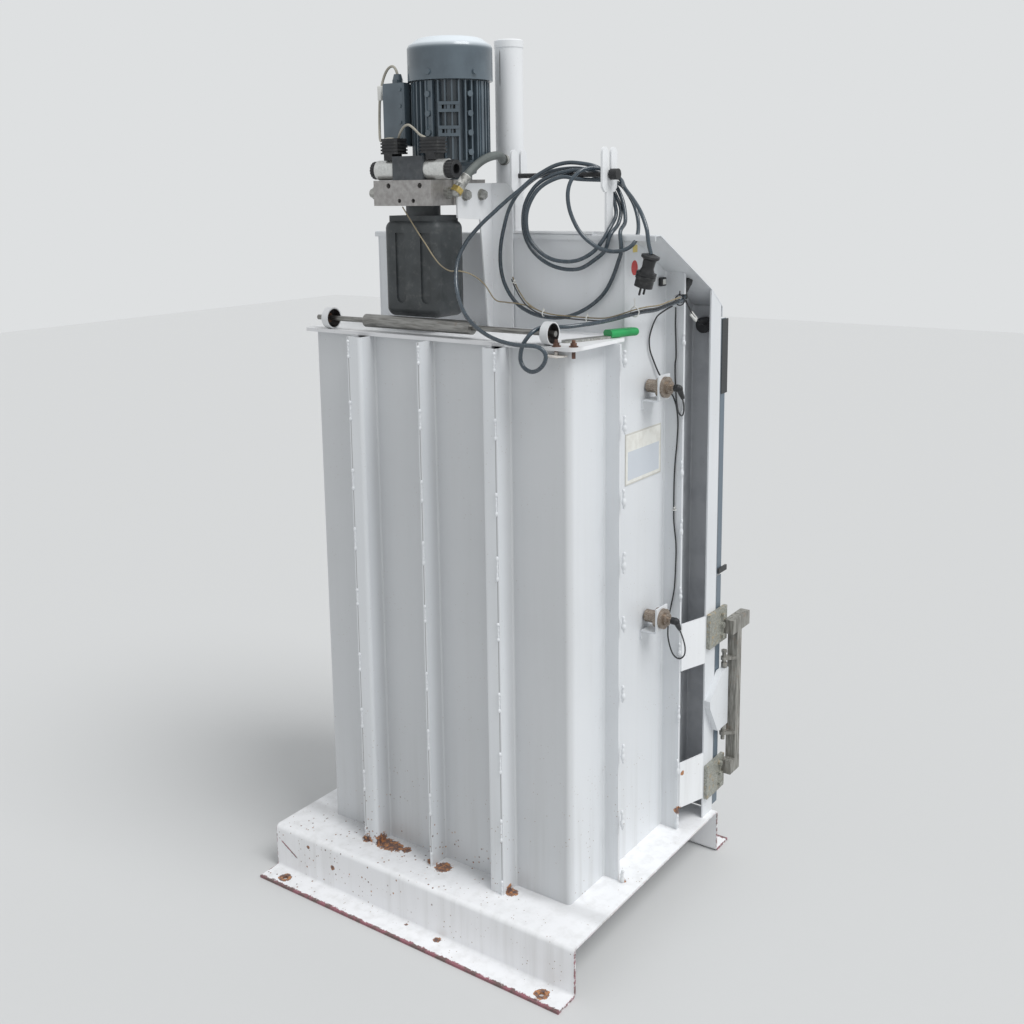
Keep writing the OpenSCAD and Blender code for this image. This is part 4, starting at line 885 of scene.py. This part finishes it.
beads = [ball((0, 0, end * STITCH / 2), 0.0042, (1, 1, 1.3)) for end in (-1, 1)]
for k in range(4):
    beads.append(ball((0.0005 * (-1) ** k, 0.0003, -0.012 + 0.008 * k), 0.0026, (1, 1, 2.2)))
beads.append(rod((0, 0, 0), 0.0018, STITCH, sides=10))
stitch = fused(beads, "stitch", 0.0011)

lumps = [
    ball((0.000, 0.0000, -0.010), 0.0078, (0.9, 0.8, 1.3)),
    ball((0.001, 0.0005, 0.004), 0.0056, (0.9, 0.8, 1.5)),
    ball((-0.001, 0.0010, 0.015), 0.0048, (1, 0.9, 1.2)),
    ball((0.001, 0.0010, -0.021), 0.0036, (1, 1, 1.6)),
]
blob = fused(lumps, "blob", 0.0014)

SEAMS = {
    "welds_rib_1": (stitch, SIDE_RIB, RIB_FACE, 1.0),
    "welds_rib_2": (stitch, -0.001, RIB_FACE, 1.0),
    "welds_rib_3": (stitch, -SIDE_RIB, RIB_FACE, 1.0),
    "welds_side": (blob, -0.4055, 0.0745, 0.9),
    "welds_post": (blob, -0.4030, -0.2000, 0.8),
}
for name, (bead, x, y, size) in SEAMS.items():
    copies = []
    for k in range(COUNT):
        drift = ((k * 7 + round(abs(x) * 1000)) % 5 - 2) * 0.004
        spot = Matrix.Translation((x, y, FIRST - k * PITCH + drift))
        shape = Matrix.Diagonal((size, size, 0.82 + 0.09 * (k % 4), 1))
        mesh = bead.data.copy()
        mesh.transform(spot @ Matrix.Rotation(k * 2.4, 4, "Z") @ shape)
        copy = bpy.data.objects.new(name, mesh)
        bpy.context.scene.collection.objects.link(copy)
        copies.append(copy)
    settle(joined(copies), name, paint, "white_paint")
bpy.data.objects.remove(blob)
bpy.data.objects.remove(stitch)
print("seams welded:", len(SEAMS), "with", COUNT, "stitches each")

# %% [markdown]
# ## Sensor plugs
# An angled sensor plug is moulded in one piece: a round body screws onto the
# sensor, and the tail turns down and tapers into the lead. A ball at the elbow
# joins the two, and a fine voxel remesh melts them into one moulding. The mains
# cable has a tapered sleeve of the same plastic where it leaves its gland.

# %% Sensor plugs and the cable's sleeve
SENSOR_HEIGHTS = (("upper_sensor_plug", 1.243), ("lower_sensor_plug", 0.693))
SENSOR_Y = -0.115

for name, z in SENSOR_HEIGHTS:
    nut = rod((-0.4310, SENSOR_Y, z), 0.0088, 0.012, (0, math.pi / 2, 0), sides=12)
    elbow = ball((-0.4370, SENSOR_Y - 0.0015, z - 0.001), 0.0082)
    tail_place = (-0.4365, SENSOR_Y - 0.0105, z - 0.0135)
    tail = rod(tail_place, 0.0046, 0.030, (math.radians(-36), 0, 0), tip=0.0078)
    plug = joined([nut, elbow, tail])
    settle(plug, name, black, "black_plastic", voxels(0.0009), softened(2))

sleeve = rod((-0.3925, -0.2215, 1.4440), 0.0052, 0.022, (math.radians(-28), 0, 0), tip=0.0078)
settle(sleeve, "cable_sleeve", black, "black_plastic", bevel(0.0008, 2))
print("sensor plugs:", len(SENSOR_HEIGHTS))

# %% [markdown]
# ## Thin leads
# The two proximity sensors, the valve coils and the door switch each have a thin
# lead of their own. They are tied along the mains cable and the post, and those
# of the sensors end in angled plugs with a short free bow, so the plug can be
# pulled off. They are limp cords, each on its own route in millimetres.

# %% Thin leads
UPPER_SENSOR = [
    (-393, -178, 1417), (-387, -190, 1400), (-384, -195, 1376), (-385, -196, 1340),
    (-386, -196, 1301), (-384, -196, 1283), (-385, -196, 1245), (-389, -194, 1206),
    (-396, -188, 1180), (-408, -180, 1168), (-421, -168, 1175), (-433, -146, 1197),
    (-436, -135, 1216),
]
LOWER_SENSOR = [
    (-388, -172, 1421), (-374, -160, 1411), (-363, -140, 1395), (-360, -117, 1357),
    (-360, -118, 1326), (-360, -138, 1295), (-362, -156, 1268), (-368, -178, 1238),
    (-377, -193, 1215), (-388, -196, 1186), (-393, -196, 1145), (-391, -196, 1096),
    (-387, -196, 1049), (-385, -196, 1000), (-385, -196, 938), (-386, -196, 903),
    (-392, -196, 851), (-392, -196, 800), (-389, -196, 740), (-382, -196, 700),
    (-379, -192, 676), (-380, -184, 650), (-384, -178, 618), (-392, -186, 580),
    (-404, -196, 566), (-418, -196, 578), (-428, -180, 606), (-434, -155, 640),
    (-436, -135, 666),
]
MOTOR = [
    (170, 112, 1925), (170, 112, 1944), (178, 112, 1962), (190, 112, 1966),
    (205, 112, 1955), (216, 114, 1929), (219, 120, 1893), (215, 128, 1850),
    (205, 140, 1815), (190, 155, 1800), (170, 168, 1800), (150, 176, 1802),
    (130, 180, 1801),
]
BRIDGE = [
    (114, 182, 1800), (104, 186, 1814), (90, 189, 1826), (76, 190, 1829), (62, 188, 1820),
    (50, 185, 1808), (36, 182, 1801),
]
TANK = [
    (92, 200, 1652), (74, 197, 1625), (50, 197, 1594), (30, 196, 1569), (11, 196, 1545),
    (-10, 196, 1525), (-30, 190, 1513), (-38, 170, 1512), (-43, 130, 1502), (-49, 90, 1478),
    (-58, 62, 1441), (-76, 44, 1434), (-97, 30, 1431), (-122, 24, 1426), (-150, 24, 1418),
]
PAIR = [
    (-80, 22, 1490), (-88, 23, 1475), (-97, 23, 1460), (-107, 23, 1447), (-119, 23, 1434),
    (-138, 22, 1422), (-161, 22, 1414), (-194, 21, 1409), (-228, 20, 1408),
    (-273, 20, 1407), (-322, 18, 1408), (-357, 12, 1417), (-380, -4, 1426),
    (-391, -44, 1430), (-396, -92, 1430), (-402, -140, 1437), (-408, -172, 1442),
]
DOOR_SWITCH = [
    (-403, -208, 1432), (-405, -222, 1412), (-405, -240, 1396), (-404, -262, 1384),
    (-402, -285, 1373), (-399, -305, 1367), (-396, -322, 1364),
]


def thin_lead(name, route, diameter, finish, replaces=()):
    line = smooth_line(route, 6)
    lead = lay_curve(name, line, diameter, 2)
    lead.data.materials.append(finish.material)
    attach(lead, "machine")
    if replaces:
        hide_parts(*replaces)
    length_of(line)
    print(name, round(length_of(line), 3), "m")


thin_lead(
    "lead_upper_sensor", UPPER_SENSOR, 0.0038, thin_black,
    ("small_cables",),
)
thin_lead(
    "lead_lower_sensor", LOWER_SENSOR, 0.0038, thin_black,
)
thin_lead("lead_motor", MOTOR, 0.0062, thin_pale)
thin_lead("lead_coil_bridge", BRIDGE, 0.0055, thin_pale)
thin_lead("lead_tank", TANK, 0.0030, thin_tan)
thin_lead("lead_pair_1", PAIR, 0.0032, thin_tan)
below = [(x, y + 4, z - 5) for x, y, z in PAIR]
thin_lead("lead_pair_2", below, 0.0032, thin_black)
thin_lead(
    "lead_door_switch", DOOR_SWITCH, 0.0034, thin_black,
)

# %% [markdown]
# ## Ties and small marks
# A cable tie is a flat band drawn tight round a bundle, with a small square head
# and the end of its tail cut off. A torus with few sides gives the band, and two
# small blocks its head and tail. The marks on the hood are plain stickers, so
# they are thin discs and plates without print.

# %% Ties
def tie(name, place, radius, turn, finish, tail):
    deselect()
    bpy.ops.mesh.primitive_torus_add(
        location=place,
        rotation=turn,
        major_segments=28,
        minor_segments=6,
        major_radius=radius,
        minor_radius=0.0014,
    )
    band = bpy.context.object
    top = Vector(place) + Vector((0, 0, radius))
    head = block(top + Vector((0, 0, 0.001)), (0.0045, 0.0055, 0.004))
    end = block(top + Vector((0, 0, tail / 2)), (0.0026, 0.0012, tail))
    settle(joined([band, head, end]), name, finish, "black_plastic", bevel(0.0004, 1))


QUARTER = math.pi / 2
tie("tie_bundle", (-0.3800, -0.012, 1.4215), 0.0105, (QUARTER, 0, 0), tie_white, 0.020)
tie("tie_notch", (-0.4020, -0.180, 1.4340), 0.0115, (QUARTER, 0, 0), black, 0.010)
tie("tie_pair_1", (-0.0860, 0.024, 1.4750), 0.0052, (0.5, 0, 0), tie_white, 0.006)
tie("tie_pair_2", (-0.1650, 0.023, 1.4105), 0.0056, (0, QUARTER, 0), tie_white, 0.007)
tie("tie_pair_3", (-0.2800, 0.022, 1.4045), 0.0056, (0, QUARTER, 0), tie_white, 0.007)
tie("tie_post", (-0.3860, -0.1970, 0.935), 0.0042, (0, 0, 0), tie_white, 0.004)

# %% Label, clip and plain marks
label = block((-0.4035, -0.2480, 1.3905), (0.0050, 0.0340, 0.0110), (math.radians(33), 0, 0))
settle(label, "lead_label", tie_white, "white_paint", bevel(0.0012, 2))
clip = block((-0.3600, -0.1755, 1.4750), (0.0090, 0.0240, 0.0200))
settle(clip, "wall_clip", black, "black_plastic", bevel(0.0025, 3))
face = block((-0.3650, -0.1755, 1.4750), (0.0016, 0.0130, 0.0120))
settle(face, "wall_clip_face", tie_white, "white_paint", bevel(0.0006, 2))
dot = rod((-0.3552, -0.0540, 1.5140), 0.0165, 0.0006, (0, QUARTER, 0), sides=40)
dot.scale = (1.0, 0.85, 1.0)
settle(dot, "red_dot", red_cap, "button_red", bevel(0.0002, 1))
mark = block((-0.3553, -0.0560, 1.5560), (0.0006, 0.0200, 0.0160))
settle(mark, "yellow_mark", yellow, "white_paint", bevel(0.0002, 1))
print("label, clip and marks made")

# %% [markdown]
# ## The hose's end
# The pressure hose ends in a crimped sleeve and a nut that turns freely on it. The
# nut is the one brass piece among zinc-plated ones, and it screws to an elbow.
# Both lie along the direction in which the hose leaves the manifold. The pale
# sleeve on the motor's lead covers its join.

# %% Hose sleeve, nut and lead sleeve
HOSE_WAY = Vector((-0.011, -0.026, 0.035)).normalized()
tilt = HOSE_WAY.to_track_quat("Z", "Y").to_euler()
crimp = rod((-0.0270, 0.1330, 1.7050), 0.0118, 0.034, tilt, tip=0.0112, sides=32)
settle(crimp, "hose_sleeve", tie_white, "bare_steel", bevel(0.0012, 3))
nut = rod((-0.0212, 0.1467, 1.6865), 0.0150, 0.013, tilt, sides=6)
settle(nut, "hose_nut", brass, "nickel_brass", bevel(0.0012, 3))
cover = block((0.2170, 0.1180, 1.9080), (0.0120, 0.0140, 0.0330))
settle(cover, "lead_sleeve", tie_white, "white_paint", bevel(0.0025, 3))

# %% [markdown]
# ## Close
# The two boxes are kept side by side: the box of the solids and the box of everything shown.

# %% Keep the two boxes and finish
bpy.context.view_layer.update()
new_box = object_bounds()
boxes = {"cad": cad_box, "visual": new_box}
boxes = {key: [[float(v) for v in corner] for corner in box] for key, box in boxes.items()}
